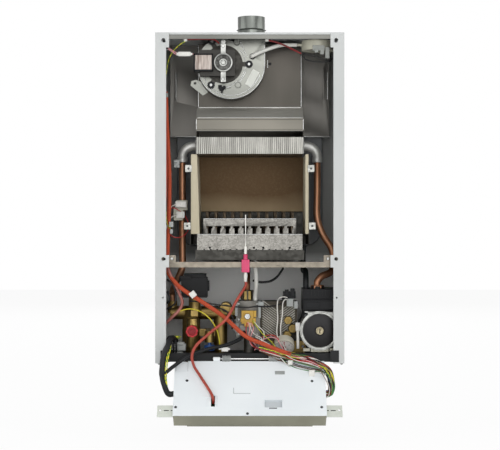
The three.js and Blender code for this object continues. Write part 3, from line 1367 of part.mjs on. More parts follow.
add(
  'vessel_hose',
  solid(
    run(
      [
        [VESSEL_NIPPLE_X, -190, hoseHead],
        [VESSEL_NIPPLE_X, -190, hoseHead + 9],
        [VESSEL_NIPPLE_X, -186, SHELF_Z - 26],
        [VESSEL_NIPPLE_X, -165, SHELF_Z - 12],
        [VESSEL_NIPPLE_X, -100, SHELF_Z - 14],
        [VESSEL_NIPPLE_X, vesselHoseY - 14, SHELF_Z - 14],
        [VESSEL_NIPPLE_X, vesselHoseY, SHELF_Z],
        [VESSEL_NIPPLE_X, vesselHoseY, vesselNippleEnd - GAP],
      ],
      VESSEL_HOSE_RADIUS,
      8,
      18,
    ),
  ),
  BLACK,
);

// ---------------------------------------------------------------- flow block (brass, left)
const nippleBore = (x, y, radius) => post(x, y, radius, PIPE_END_Z - 1, PIPE_END_Z + NIPPLE_BORE_DEPTH, 16);
const exchangerSide = EXCHANGER_LEFT - GAP;
const safetyTail = SAFETY_Y + SAFETY_RADIUS - 1;
const columnFront = PIPE_ROW_Y - FLOW_COLUMN_RADIUS;
add(
  'flow_block',
  cut(
    join(
      spar(PIPE_ROW_Y, FLOW_ARM_Z, FLOW_ARM_RADIUS, FLOW_ARM_LEFT_X, exchangerSide),
      post(pipeX(-2), PIPE_ROW_Y, FLOW_COLUMN_RADIUS, 14, FLOW_ARM_Z + 8),
      post(pipeX(-2), PIPE_ROW_Y, LARGE_NIPPLE_RADIUS, PIPE_END_Z, 20),
      post(pipeX(-1), PIPE_ROW_Y, FLOW_ARM_RADIUS, 14, FLOW_ARM_Z),
      post(pipeX(-1), PIPE_ROW_Y, SMALL_NIPPLE_RADIUS, PIPE_END_Z, 20),
      post(...flowPort, PIPE_RADIUS + 3, FLOW_ARM_Z, FLOW_TOP_Z, 16),
      box(DIVERTER_X - DIVERTER_POST_RADIUS, DIVERTER_X + DIVERTER_POST_RADIUS, DIVERTER_Y, PIPE_ROW_Y,
        FLOW_ARM_Z - 2, FLOW_ARM_Z + 14),
      post(DIVERTER_X, DIVERTER_Y, DIVERTER_POST_RADIUS, FLOW_ARM_Z - 2, DIVERTER_POST_TOP),
      post(FILLING_X, FILLING_Y, FILLING_BODY_RADIUS, FILLING_KNOB_BOTTOM + FILLING_KNOB_HEIGHT + 6,
        FILLING_TOP_Z, 16),
      box(FILLING_X - 8, FILLING_X + 8, FILLING_Y, PIPE_ROW_Y, FILLING_TOP_Z - 16, FILLING_TOP_Z),
      box(pipeX(-2), pipeX(-1), PIPE_ROW_Y - 8, PIPE_ROW_Y + 8, FILLING_TOP_Z - 16, FILLING_TOP_Z),
    ),
    nippleBore(pipeX(-2), PIPE_ROW_Y, LARGE_NIPPLE_BORE),
    nippleBore(pipeX(-1), PIPE_ROW_Y, SMALL_NIPPLE_BORE),
    post(DIVERTER_X, DIVERTER_Y, DIVERTER_BORE, DIVERTER_POST_TOP - DIVERTER_BORE_DEPTH,
      DIVERTER_POST_TOP + 1, 16),
    post(FILLING_X, FILLING_Y, FILLING_STEM_RADIUS + GAP, 20, FILLING_TOP_Z - 10, 16),
  ),
  BRASS,
);
const spindleBottom = DIVERTER_POST_TOP - DIVERTER_BORE_DEPTH + GAP;
const motorBottom = DIVERTER_POST_TOP + GAP;
const spindleReach = spindleBottom + SPINDLE_LENGTH + SPINDLE_TRAVEL + 1;
add(
  'diverter_motor',
  cut(
    join(
      box(DIVERTER_X - DIVERTER_MOTOR_HALF_WIDTH, DIVERTER_X + DIVERTER_MOTOR_HALF_WIDTH,
        DIVERTER_Y - DIVERTER_MOTOR_HALF_DEPTH, DIVERTER_Y + DIVERTER_MOTOR_HALF_DEPTH,
        motorBottom, motorBottom + DIVERTER_MOTOR_HEIGHT - 8),
      box(DIVERTER_X - DIVERTER_MOTOR_HALF_WIDTH + 6, DIVERTER_X + DIVERTER_MOTOR_HALF_WIDTH - 3,
        DIVERTER_Y - DIVERTER_MOTOR_HALF_DEPTH + 4, DIVERTER_Y + DIVERTER_MOTOR_HALF_DEPTH - 4,
        motorBottom + DIVERTER_MOTOR_HEIGHT - 9, motorBottom + DIVERTER_MOTOR_HEIGHT),
    ),
    post(DIVERTER_X, DIVERTER_Y, DIVERTER_BORE, motorBottom - 1, spindleReach, 16),
  ),
  BLACK,
);
add(
  'diverter_spindle',
  post(DIVERTER_X, DIVERTER_Y, SPINDLE_RADIUS, spindleBottom, spindleBottom + SPINDLE_LENGTH, 16),
  BRIGHT_STEEL,
);

const safetyBossFront = SAFETY_Y - SAFETY_BOSS_LENGTH;
const safetyStem = 4;
add(
  'safety_valve_body',
  cut(
    join(
      post(SAFETY_X, SAFETY_Y, SAFETY_RADIUS, SAFETY_BOTTOM_Z, SAFETY_TOP_Z),
      post(SAFETY_X, SAFETY_Y, SAFETY_RADIUS - 3, SAFETY_BOTTOM_Z - 8, SAFETY_BOTTOM_Z + 1),
      barrel(SAFETY_X, SAFETY_KNOB_Z, SAFETY_RADIUS - 1, safetyBossFront, SAFETY_Y),
      barrel(SAFETY_X, FLOW_ARM_Z - SAFETY_RADIUS - 7, SAFETY_TAIL_RADIUS, safetyTail, columnFront - GAP, 16),
    ),
    post(SAFETY_X, SAFETY_Y, SAFETY_RADIUS - 6, SAFETY_BOTTOM_Z - 9, SAFETY_BOTTOM_Z + 14, 16),
    barrel(SAFETY_X, SAFETY_KNOB_Z, safetyStem + GAP, safetyBossFront - 1, safetyBossFront + 12, 16),
  ),
  BRASS,
);
const grip = [];
for (let i = 0; i < 32; i++) {
  const r = i % 4 < 2 ? SAFETY_KNOB_RADIUS : SAFETY_KNOB_RADIUS - 1.2;
  grip.push([SAFETY_X + r * Math.cos((i * Math.PI) / 16), SAFETY_KNOB_Z + r * Math.sin((i * Math.PI) / 16)]);
}
add(
  'safety_valve_knob',
  cut(
    join(
      plateXZ(grip, safetyBossFront - GAP - SAFETY_KNOB_LENGTH, safetyBossFront - GAP),
      barrel(SAFETY_X, SAFETY_KNOB_Z, safetyStem, safetyBossFront - 1, safetyBossFront + 10, 16),
    ),
    box(SAFETY_X - 1.5, SAFETY_X + 1.5, safetyBossFront - GAP - SAFETY_KNOB_LENGTH - 1,
      safetyBossFront - GAP - SAFETY_KNOB_LENGTH + 1.5, SAFETY_KNOB_Z - 6, SAFETY_KNOB_Z + 6),
  ),
  RED,
);
add(
  'filling_knob',
  cut(
    join(
      post(FILLING_X, FILLING_Y, FILLING_KNOB_RADIUS, FILLING_KNOB_BOTTOM,
        FILLING_KNOB_BOTTOM + FILLING_KNOB_HEIGHT, 10),
      post(FILLING_X, FILLING_Y, FILLING_STEM_RADIUS, FILLING_KNOB_BOTTOM + 2, FILLING_TOP_Z - 11, 16),
    ),
    box(FILLING_X - 1, FILLING_X + 1, FILLING_Y - 20, FILLING_Y - 6, FILLING_KNOB_BOTTOM - 1,
      FILLING_KNOB_BOTTOM + 4),
  ),
  BLUE,
);

// ---------------------------------------------------------------- gas valve
const gasNippleY = GAS_PIPE_Y - 5;
const gasNutTop = GAS_VALVE_TOP + GAS_NUT_HEIGHT;
add(
  'gas_valve',
  cut(
    join(
      box(GAS_VALVE_LEFT, GAS_VALVE_RIGHT, GAS_VALVE_FRONT, GAS_VALVE_BACK, GAS_VALVE_BOTTOM, GAS_VALVE_TOP),
      box(GAS_VALVE_LEFT + 8, GAS_VALVE_RIGHT - 8, GAS_VALVE_FRONT - 6, GAS_VALVE_FRONT + 1,
        GAS_VALVE_BOTTOM + 4, GAS_COIL_Z - GAS_COIL_HALF_HEIGHT - 4),
      post(0, gasNippleY, LARGE_NIPPLE_RADIUS, PIPE_END_Z, GAS_VALVE_BOTTOM + 1),
      post(GAS_PIPE_X, GAS_PIPE_Y, GAS_NUT_RADIUS, GAS_VALVE_TOP - 1, gasNutTop, 6),
    ),
    nippleBore(0, gasNippleY, LARGE_NIPPLE_BORE),
  ),
  BRIGHT_STEEL,
);
const gasCoilBack = GAS_VALVE_FRONT - GAP;
const gasCoilFront = gasCoilBack - GAS_COIL_DEPTH;
add(
  'gas_valve_coil',
  join(
    box(GAS_PIPE_X - GAS_COIL_HALF_WIDTH, GAS_PIPE_X + GAS_COIL_HALF_WIDTH, gasCoilFront, gasCoilBack,
      GAS_COIL_Z - GAS_COIL_HALF_HEIGHT, GAS_COIL_Z + GAS_COIL_HALF_HEIGHT),
    barrel(GAS_PIPE_X - 3, GAS_COIL_Z + 4, 5, gasCoilFront - 4, gasCoilFront + 1, 16),
  ),
  YELLOW,
);
add(
  'gas_pipe',
  solid(
    run(
      [
        [GAS_PIPE_X, GAS_PIPE_Y, gasNutTop + GAP],
        [GAS_PIPE_X, GAS_PIPE_Y, gasNutTop + 14],
        [GAS_PIPE_X, GAS_PIPE_Y + 22, SHELF_Z - 24],
        [GAS_PIPE_X, MANIFOLD_Y - 20, SHELF_Z - 19],
        [...gasShelf, SHELF_Z - 5],
        [...gasShelf, GUTTER_BOTTOM_Z],
        [...gasShelf, MANIFOLD_Z - MANIFOLD_HALF - GAP],
      ],
      GAS_PIPE_RADIUS,
      10,
      14,
    ),
  ),
  COPPER,
);
add(
  'reference_hose',
  solid(
    run(
      [
        [REFERENCE_HOSE_X, REFERENCE_HOSE_Y, GAS_VALVE_TOP + GAP],
        [REFERENCE_HOSE_X, REFERENCE_HOSE_Y, GAS_VALVE_TOP + 12],
        [REFERENCE_HOSE_X + 2, REFERENCE_HOSE_Y - 12, SHELF_Z - 36],
        [REFERENCE_HOSE_X, REFERENCE_HOSE_Y - 16, SHELF_Z],
        [REFERENCE_HOSE_X, REFERENCE_HOSE_Y - 16, GUTTER_BOTTOM_Z - GAP],
      ],
      REFERENCE_HOSE_RADIUS,
      8,
      8,
    ),
  ),
  SILICONE,
);

// ---------------------------------------------------------------- plate heat exchanger
// A brazed stack: grooves show the plate edges, and pressed chevrons stand on the front plate.
const grooves = [];
const groovePitch = (EXCHANGER_BACK - EXCHANGER_FRONT) / (EXCHANGER_GROOVES + 1);
const grooveFrame = (y) => cut(
  box(EXCHANGER_LEFT - 1, EXCHANGER_RIGHT + 1, y - 1, y + 1, EXCHANGER_BOTTOM - 1, EXCHANGER_TOP + 1),
  box(EXCHANGER_LEFT + EXCHANGER_GROOVE_DEPTH, EXCHANGER_RIGHT - EXCHANGER_GROOVE_DEPTH, y - 2, y + 2,
    EXCHANGER_BOTTOM + EXCHANGER_GROOVE_DEPTH, EXCHANGER_TOP - EXCHANGER_GROOVE_DEPTH),
);
for (let i = 1; i <= EXCHANGER_GROOVES; i++) {
  grooves.push(grooveFrame(EXCHANGER_FRONT + i * groovePitch));
}
const chevrons = [];
const exchangerMiddle = (EXCHANGER_LEFT + EXCHANGER_RIGHT) / 2;
const chevronHalf = (EXCHANGER_RIGHT - EXCHANGER_LEFT) / 2 - 6;
const chevronPitch = (EXCHANGER_TOP - EXCHANGER_BOTTOM - chevronHalf * 0.6 - 8) / CHEVRON_COUNT;
for (let i = 0; i < CHEVRON_COUNT; i++) {
  const z = EXCHANGER_BOTTOM + 6 + i * chevronPitch;
  chevrons.push(
    plateXZ(
      [
        [exchangerMiddle - chevronHalf, z],
        [exchangerMiddle, z + chevronHalf * 0.6],
        [exchangerMiddle + chevronHalf, z],
        [exchangerMiddle + chevronHalf, z + chevronPitch / 2],
        [exchangerMiddle, z + chevronHalf * 0.6 + chevronPitch / 2],
        [exchangerMiddle - chevronHalf, z + chevronPitch / 2],
      ],
      EXCHANGER_FRONT - CHEVRON_HEIGHT,
      EXCHANGER_FRONT + 1,
    ),
  );
}
add(
  'plate_exchanger',
  cut(
    join(
      box(EXCHANGER_LEFT, EXCHANGER_RIGHT, EXCHANGER_FRONT, EXCHANGER_BACK, EXCHANGER_BOTTOM, EXCHANGER_TOP),
      ...chevrons,
    ),
    ...grooves,
  ),
  BRIGHT_STEEL,
);

// ---------------------------------------------------------------- return block (brass, right)
const blockTop = Math.min(RETURN_BLOCK_TOP, EXCHANGER_BOTTOM - 2);
add(
  'return_block',
  cut(
    join(
      box(pipeX(1) - 14, pipeX(2) + 16, PIPE_ROW_Y - RETURN_BLOCK_HALF_DEPTH,
        PIPE_ROW_Y + RETURN_BLOCK_HALF_DEPTH, RETURN_BLOCK_BOTTOM, blockTop),
      post(pipeX(1), PIPE_ROW_Y, 12, blockTop - 1, EXCHANGER_BOTTOM - GAP),
      post(pipeX(1), PIPE_ROW_Y, SMALL_NIPPLE_RADIUS, PIPE_END_Z, RETURN_BLOCK_BOTTOM + 1),
      post(pipeX(2), PIPE_ROW_Y, LARGE_NIPPLE_RADIUS, PIPE_END_Z, RETURN_BLOCK_BOTTOM + 1),
      post(pipeX(2), PIPE_ROW_Y, LARGE_NIPPLE_RADIUS, blockTop - 1, PUMP_Z),
      barrel(pipeX(2), PUMP_Z - LARGE_NIPPLE_RADIUS, 11, PUMP_HOUSING_BACK + GAP, PIPE_ROW_Y),
    ),
    nippleBore(pipeX(1), PIPE_ROW_Y, SMALL_NIPPLE_BORE),
    nippleBore(pipeX(2), PIPE_ROW_Y, LARGE_NIPPLE_BORE),
  ),
  BRASS,
);

// ---------------------------------------------------------------- pump
const housingFront = PUMP_MOTOR_BACK + GAP;
const headBottom = PUMP_Z + PUMP_MOTOR_RADIUS + 1 + TERMINAL_BOX_HEIGHT + GAP;
const impellerGap = 3;
const pumpCavityFront = housingFront + PUMP_WALL;
const pumpCavityBack = pumpCavityFront + PUMP_IMPELLER_THICKNESS + 2 * impellerGap;
add(
  'pump_housing',
  cut(
    join(
      barrel(PUMP_X, PUMP_Z, PUMP_HOUSING_RADIUS, housingFront, PUMP_HOUSING_BACK, 32),
      box(PUMP_HEAD_LEFT, PUMP_HEAD_RIGHT, housingFront, PUMP_HOUSING_BACK, PUMP_Z, PUMP_HEAD_TOP),
      box(PUMP_HEAD_LEFT, PUMP_HEAD_RIGHT, PUMP_HEAD_FRONT, PUMP_HOUSING_BACK, headBottom, PUMP_HEAD_TOP),
      post(PUMP_UNION_X, PUMP_UNION_Y, PUMP_UNION_RADIUS, PUMP_HEAD_TOP - 1, unionTop),
      post(pipeX(2), PIPE_ROW_Y - 40, 8, trayTop + GAP, PUMP_Z - PUMP_HOUSING_RADIUS + 10, 12),
    ),
    barrel(PUMP_X, PUMP_Z, PUMP_IMPELLER_RADIUS + impellerGap, pumpCavityFront, pumpCavityBack),
    barrel(PUMP_X, PUMP_Z, PUMP_SHAFT_RADIUS + PUMP_ROTOR_CLEARANCE, housingFront - 1,
      pumpCavityFront + 1, 16),
    barrel(pipeX(2), PUMP_Z - LARGE_NIPPLE_RADIUS, 8, pumpCavityBack - 1, PUMP_HOUSING_BACK + 1, 16),
  ),
  BLACK,
);
const rotorBore = PUMP_ROTOR_RADIUS + PUMP_ROTOR_CLEARANCE;
const rotorFront = PUMP_MOTOR_FRONT + 12;
add(
  'pump_motor',
  cut(
    barrel(PUMP_X, PUMP_Z, PUMP_MOTOR_RADIUS, PUMP_MOTOR_FRONT, PUMP_MOTOR_BACK, 40),
    cut(
      barrel(PUMP_X, PUMP_Z, PUMP_RING_INNER, PUMP_MOTOR_FRONT - 1, PUMP_MOTOR_FRONT + PUMP_RING_DEPTH, 40),
      barrel(PUMP_X, PUMP_Z, 8.5, PUMP_MOTOR_FRONT - 2, PUMP_MOTOR_FRONT + PUMP_RING_DEPTH + 1, 16),
    ),
    barrel(PUMP_X, PUMP_Z, rotorBore, rotorFront - PUMP_ROTOR_CLEARANCE, PUMP_MOTOR_BACK + 1),
  ),
  DIE_CAST,
);
const boxBottom = PUMP_Z + PUMP_MOTOR_RADIUS + 1;
add(
  'pump_terminal_box',
  join(
    box(PUMP_HEAD_LEFT, PUMP_HEAD_RIGHT, TERMINAL_BOX_FRONT, TERMINAL_BOX_BACK, boxBottom,
      boxBottom + TERMINAL_BOX_HEIGHT),
    box(PUMP_HEAD_LEFT + 10, PUMP_HEAD_RIGHT - 10, TERMINAL_BOX_FRONT - 2, TERMINAL_BOX_FRONT + 1,
      boxBottom + 3, boxBottom + TERMINAL_BOX_HEIGHT - 3),
  ),
  BLACK,
);
add(
  'pump_rotor',
  join(
    barrel(PUMP_X, PUMP_Z, PUMP_ROTOR_RADIUS, rotorFront, PUMP_MOTOR_BACK - 4),
    barrel(PUMP_X, PUMP_Z, PUMP_SHAFT_RADIUS, PUMP_MOTOR_BACK - 5, pumpCavityFront + impellerGap + 1, 16),
    barrel(PUMP_X, PUMP_Z, PUMP_IMPELLER_RADIUS, pumpCavityFront + impellerGap,
      pumpCavityFront + impellerGap + PUMP_IMPELLER_THICKNESS),
  ),
  BRIGHT_STEEL,
);

// ---------------------------------------------------------------- pressure gauge
// The dial looks forward and down; the tray's upturned tab carries the neck behind it.
add(
  'pressure_gauge',
  cut(
    join(
      barrel(0, 0, GAUGE_RADIUS, 0, GAUGE_DEPTH, 28),
      barrel(0, 0, GAUGE_RADIUS - 6, GAUGE_DEPTH - 1, GAUGE_DEPTH + 6, 20),
      barrel(0, 0, GAUGE_NECK_RADIUS, GAUGE_DEPTH + 5, GAUGE_DEPTH + GAUGE_NECK_LENGTH, 12),
    ),
    barrel(0, 0, GAUGE_RADIUS - GAUGE_BEZEL, -1, GAUGE_RECESS, 28),
    barrel(0, 0, 1.2, -1, GAUGE_RECESS + 6, 10),
  ),
  BLACK,
  gauge,
);

// The tail of the needle is as much wider than the pointer as it takes to balance it.
const needleFront = GAUGE_RECESS - 1.4;
const needleBack = needleFront + 0.8;
const tailHalf = (NEEDLE_HALF_WIDTH * NEEDLE_LENGTH ** 2) / NEEDLE_TAIL ** 2;
add(
  'gauge_needle',
  join(
    barrel(0, 0, NEEDLE_HUB, GAUGE_RECESS - 1.5, GAUGE_RECESS - GAP, 12),
    barrel(0, 0, 0.8, GAUGE_RECESS - 1, GAUGE_RECESS + 4, 8),
    box(-NEEDLE_HALF_WIDTH, NEEDLE_HALF_WIDTH, needleFront, needleBack, 0, NEEDLE_LENGTH),
    box(-tailHalf, tailHalf, needleFront, needleBack, -NEEDLE_TAIL, 0),
  ),
  NEEDLE,
  gauge,
);

// ---------------------------------------------------------------- hinge of the control box
const hingeBlock = (x) => {
  const x0 = x - HINGE_BLOCK_HALF;
  const x1 = x + HINGE_BLOCK_HALF;
  return join(
    spar(HINGE_Y, HINGE_Z, HINGE_BLOCK_RADIUS, x0, x1, 16),
    box(x0, x1, HINGE_Y, TRAY_BEAM_Y - GAP, HINGE_Z - HINGE_BLOCK_RADIUS, HINGE_Z + HINGE_BLOCK_RADIUS),
  );
};
add(
  'hinge_rod',
  join(
    spar(HINGE_Y, HINGE_Z, ROD_RADIUS, ROD_LEFT, ROD_RIGHT, 12),
    hingeBlock(-HINGE_BLOCK_X),
    hingeBlock(HINGE_BLOCK_X),
  ),
  BRIGHT_STEEL,
);

// ---------------------------------------------------------------- control box, drawn hinged on its group
// Inside the group the box lies flat: forward of the hinge it runs along -Y, its cover looks up.
function slab(x0, x1, u0, u1, n0, n1) {
  return box(x0, x1, -u1, -u0, n0, n1);
}
const knuckle = (x) => join(
  spar(0, 0, KNUCKLE_RADIUS, x - KNUCKLE_HALF, x + KNUCKLE_HALF, 16),
  slab(x - KNUCKLE_HALF, x + KNUCKLE_HALF, 0, COVER_FROM + 2, -COVER_THICKNESS, 0),
);
const boxBore = spar(0, 0, ROD_RADIUS + ROD_CLEARANCE, -150, 150, 12);
add(
  'control_cover',
  cut(
    join(
      slab(-COVER_HALF_WIDTH, COVER_HALF_WIDTH, COVER_FROM, COVER_TO, -COVER_THICKNESS, 0),
      knuckle(KNUCKLE_LEFT_X),
      knuckle(KNUCKLE_RIGHT_X),
      slab(RECESS_LEFT - SHEET, RECESS_RIGHT + SHEET, RECESS_FROM - SHEET, RECESS_TO + SHEET,
        -RECESS_DEPTH - SHEET, 0),
    ),
    boxBore,
    slab(LEAD_SLOT_LEFT, LEAD_SLOT_RIGHT, LEAD_SLOT_FROM, LEAD_SLOT_TO, -3, 1),
    slab(RECESS_LEFT, RECESS_RIGHT, RECESS_FROM, RECESS_TO, -RECESS_DEPTH, 1),
    slab(-COVER_HALF_WIDTH - 1, -130, COVER_FROM - 1, 34, -3, 1),
  ),
  COVER_WHITE,
  controlBox,
);

const rim = -COVER_THICKNESS - GAP;
const floorDepth = rim - HOUSING_DEPTH;
const ear = (side) => {
  const edge = HOUSING_HALF_WIDTH - 1;
  const x0 = Math.min(side * edge, side * EAR_REACH);
  const x1 = Math.max(side * edge, side * EAR_REACH);
  return cut(
    slab(x0, x1, EAR_FROM, EAR_TO, -EAR_OFFSET - EAR_THICKNESS, -EAR_OFFSET),
    new THREE.CylinderGeometry(EAR_HOLE_RADIUS, EAR_HOLE_RADIUS, 20, 12)
      .rotateX(Math.PI / 2)
      .translate(side * EAR_SCREW_X, -(EAR_SCREW_Z - HINGE_Z), -EAR_OFFSET),
  );
};
const shaftHole = (x) => new THREE.CylinderGeometry(KNOB_SHAFT_RADIUS + GAP, KNOB_SHAFT_RADIUS + GAP, 40, 16)
  .rotateX(Math.PI / 2)
  .translate(x, -KNOB_U, floorDepth - STEP_HEIGHT);
add(
  'control_housing',
  cut(
    join(
      slab(-HOUSING_HALF_WIDTH, HOUSING_HALF_WIDTH, COVER_FROM + 1, COVER_TO - 1, floorDepth, rim),
      slab(-STEP_HALF_WIDTH, STEP_HALF_WIDTH, STEP_FROM, STEP_TO, floorDepth - STEP_HEIGHT, floorDepth + 1),
      ear(-1),
      ear(1),
    ),
    slab(-HOUSING_HALF_WIDTH + HOUSING_WALL, HOUSING_HALF_WIDTH - HOUSING_WALL, COVER_FROM + 1 + HOUSING_WALL,
      COVER_TO - 1 - HOUSING_WALL, floorDepth + HOUSING_WALL, rim + 1),
    slab(-STEP_HALF_WIDTH + HOUSING_WALL, STEP_HALF_WIDTH - HOUSING_WALL, STEP_FROM + HOUSING_WALL,
      STEP_TO - HOUSING_WALL, floorDepth - STEP_HEIGHT + HOUSING_WALL, floorDepth + HOUSING_WALL + 1),
    shaftHole(-KNOB_X),
    shaftHole(KNOB_X),
  ),
  GREY_PLASTIC,
  controlBox,
);

const boardTopFace = -BOARD_DEPTH;
const boardLow = boardTopFace - BOARD_THICKNESS;
const boardFoot = BOARD_HALF_WIDTH - 12;
add(
  'circuit_board',
  join(
    slab(-BOARD_HALF_WIDTH, BOARD_HALF_WIDTH, BOARD_FROM + 6, BOARD_TO - 6, boardLow, boardTopFace),
    slab(BOARD_HALF_WIDTH - 50, BOARD_HALF_WIDTH - 12, 40, 80, boardTopFace - 0.5, boardTopFace + 22),
    slab(8 - BOARD_HALF_WIDTH, 23 - BOARD_HALF_WIDTH, 35, 110, boardTopFace - 0.5, boardTopFace + 10),
    slab(-50, -34, 40, 58, boardTopFace - 0.5, boardTopFace + 12),
    slab(-28, -12, 40, 58, boardTopFace - 0.5, boardTopFace + 12),
    slab(10, 24, 96, 118, boardTopFace - 0.5, boardTopFace + 14),
    ...[-1, 1].flatMap((side) => [-1, 1].map((end) =>
      slab(side * boardFoot - 3, side * boardFoot + 3, 80 + end * 46 - 3, 80 + end * 46 + 3,
        floorDepth - STEP_HEIGHT + HOUSING_WALL + GAP, boardLow + 0.5))),
  ),
  BOARD_GREEN,
  controlBox,
);
const fascia = floorDepth - STEP_HEIGHT;
for (const [name, x] of [['heating_knob', -KNOB_X], ['hot_water_knob', KNOB_X]]) {
  const disc = new THREE.CylinderGeometry(KNOB_RADIUS, KNOB_RADIUS - 2, KNOB_LENGTH, 24)
    .rotateX(Math.PI / 2)
    .translate(x, -KNOB_U, fascia - GAP - KNOB_LENGTH / 2);
  const shaftTop = boardLow - GAP;
  const shaft = new THREE.CylinderGeometry(KNOB_SHAFT_RADIUS, KNOB_SHAFT_RADIUS, shaftTop - fascia + 2, 16)
    .rotateX(Math.PI / 2)
    .translate(x, -KNOB_U, (shaftTop + fascia - 2) / 2);
  add(
    name,
    cut(
      join(disc, shaft),
      slab(x - 0.8, x + 0.8, KNOB_U + 4, KNOB_U + KNOB_RADIUS + 1, fascia - GAP - KNOB_LENGTH - 1,
        fascia - GAP - KNOB_LENGTH + 1),
    ),
    GREY_PLASTIC,
    controlBox,
  );
}

// ---------------------------------------------------------------- cords
// A point of the open control box: across it, out from the hinge, and above its cover.
function onBox(x, u, n) {
  const c = Math.cos(OPEN_ANGLE * RAD);
  const s = Math.sin(OPEN_ANGLE * RAD);
  return [x, HINGE_Y - u * c - n * s, HINGE_Z - u * s + n * c];
}
add(
  'ignition_lead',
  solid(
    run(
      [
        [ELECTRODE_X, ELECTRODE_Y, TERMINAL_BOTTOM_Z - GAP],
        [ELECTRODE_X, ELECTRODE_Y, TERMINAL_BOTTOM_Z - 10],
        [-27, -262, 134],
        [-50, -271, 94],
        [-84, -276, 65],
        [-112, -284, 40],
        [-121, -292, 19],
        [-117, -300, -1],
        onBox(-104, 52, 9),
        onBox(-83, 90, 7),
        onBox(-76, 106, 4),
        onBox(-75, 110, -9),
      ],
      LEAD_RADIUS,
      CORD_SIDES,
      34,
    ),
  ),
  SLEEVE,
);
add(
  'wiring_sleeve',
  solid(
    run(
      [
        [-181, -212, 580],
        [-178, -214, 500],
        [-173, -216, 400],
        [-174, -220, 310],
        [-176, -228, 250],
        [-176, -233, 212],
        [-174, -237, 190],
        [-148, -250, 160],
        [-99, -256, 128],
        [-55, -258, 98],
        [-10, -262, 58],
        [32, -270, 40],
        [75, -277, 24],
        [126, -284, 12],
        [152, -292, 0],
        onBox(168, 40, 8),
        onBox(173, 64, -6),
        onBox(169, 80, -16),
        onBox(HOUSING_HALF_WIDTH + GAP, 80, -16),
      ],
      SLEEVE_RADIUS,
      CORD_SIDES,
      50,
    ),
  ),
  SLEEVE,
);
const leftBundle = run(
  [
    [-158, -236, 45],
    [-163, -250, 52],
    [-168, -266, 50],
    [-173, -281, 36],
    [-182, -289, 10],
    [-183, -298, -20],
    onBox(-179, 66, 0),
    onBox(-170, 80, -16),
    onBox(-HOUSING_HALF_WIDTH - GAP, 80, -16),
  ],
  CABLE_RADIUS,
  CORD_SIDES,
  14,
);
const conduit = run(
  [
    [-12, -218, 62],
    [-20, -238, 50],
    [-50, -256, 38],
    [-90, -266, 30],
    [-130, -278, 16],
    [-160, -290, -4],
    [-178, -297, -18],
    [-184, -298, -21],
  ],
  CONDUIT_RADIUS,
  CORD_SIDES,
  14,
);
add('left_cables', join(leftBundle, conduit), BLACK);

export default boiler;
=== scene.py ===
import math

import bmesh
import bpy
from mathutils import Matrix, Vector


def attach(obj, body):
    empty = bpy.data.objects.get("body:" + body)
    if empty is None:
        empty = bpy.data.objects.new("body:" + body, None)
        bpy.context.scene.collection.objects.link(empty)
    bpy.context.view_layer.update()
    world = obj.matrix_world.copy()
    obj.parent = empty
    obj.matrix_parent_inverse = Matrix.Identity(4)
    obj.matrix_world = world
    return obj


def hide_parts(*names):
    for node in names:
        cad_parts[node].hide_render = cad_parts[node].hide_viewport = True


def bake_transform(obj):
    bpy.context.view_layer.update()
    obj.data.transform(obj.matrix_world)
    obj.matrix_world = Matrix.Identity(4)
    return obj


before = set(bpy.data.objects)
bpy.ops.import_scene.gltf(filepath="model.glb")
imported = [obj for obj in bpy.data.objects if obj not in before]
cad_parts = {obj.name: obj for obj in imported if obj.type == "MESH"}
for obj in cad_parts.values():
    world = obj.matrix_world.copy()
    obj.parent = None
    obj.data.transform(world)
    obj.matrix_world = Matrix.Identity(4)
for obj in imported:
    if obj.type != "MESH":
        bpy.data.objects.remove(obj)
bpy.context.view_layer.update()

# ---------------------------------------------------------------- camera
# The boiler hangs with its front cover off, seen square on from 2.8 m in front of its case.
# All places are in millimetres from the lower edge of the case and turned to metres by at().
HANG_LINE = 655
VIEW_DISTANCE = 2800
CASE_FRONT = -270
AIM_X, AIM_Z = 0.5, 292.7


def at(x, y, z):
    return Vector((x, y, z - HANG_LINE)) / 1000


def placed(name, data):
    """A new object in the scene."""
    made = bpy.data.objects.new(name, data)
    bpy.context.collection.objects.link(made)
    return made


eye = bpy.data.cameras.new("camera")
eye.lens = 95.4
eye.sensor_width = 36
camera = placed("camera", eye)
camera.location = at(AIM_X, CASE_FRONT - VIEW_DISTANCE, AIM_Z)
camera.rotation_euler = (math.pi / 2, 0, 0)
bpy.context.scene.camera = camera
bpy.context.scene.view_settings.view_transform = "Standard"

# ---------------------------------------------------------------- ignition lead
# A high-voltage lead in a silicone sleeve, extruded in orange-red rubber. It runs from the
# electrode's cap, over the pipes, and through the slot in the cover of the control box.
LEAD_RADIUS = 3
ELECTRODE = (-9, -249.8)
HINGE_Y = -265
HINGE_Z = 9.3
OPEN_ANGLE = math.radians(45)


def on_box(x, u, n):
    """A point across the open control box, out from its hinge, and above its cover."""
    c, s = math.cos(OPEN_ANGLE), math.sin(OPEN_ANGLE)
    return (x, HINGE_Y - u * c - n * s, HINGE_Z - u * s + n * c)


def paint(code):
    """A colour written as on a screen, turned to linear light."""
    parts = [int(code[i:i + 2], 16) / 255 for i in (1, 3, 5)]
    return [p / 12.92 if p <= 0.04045 else ((p + 0.055) / 1.055) ** 2.4 for p in parts] + [1]


def node(tree, kind, inputs=None, **settings):
    """Adds a node with its settings, and fills or links its sockets."""
    made = tree.nodes.new(kind)
    for key, value in settings.items():
        setattr(made, key, value)
    for key, value in (inputs or {}).items():
        socket = made.inputs[key]
        if isinstance(value, bpy.types.NodeSocket):
            tree.links.new(value, socket)
        else:
            socket.default_value = value
    return made


def maths(tree, operation, *values):
    """One step of arithmetic on numbers or sockets."""
    return node(tree, "ShaderNodeMath", dict(enumerate(values)), operation=operation).outputs[0]


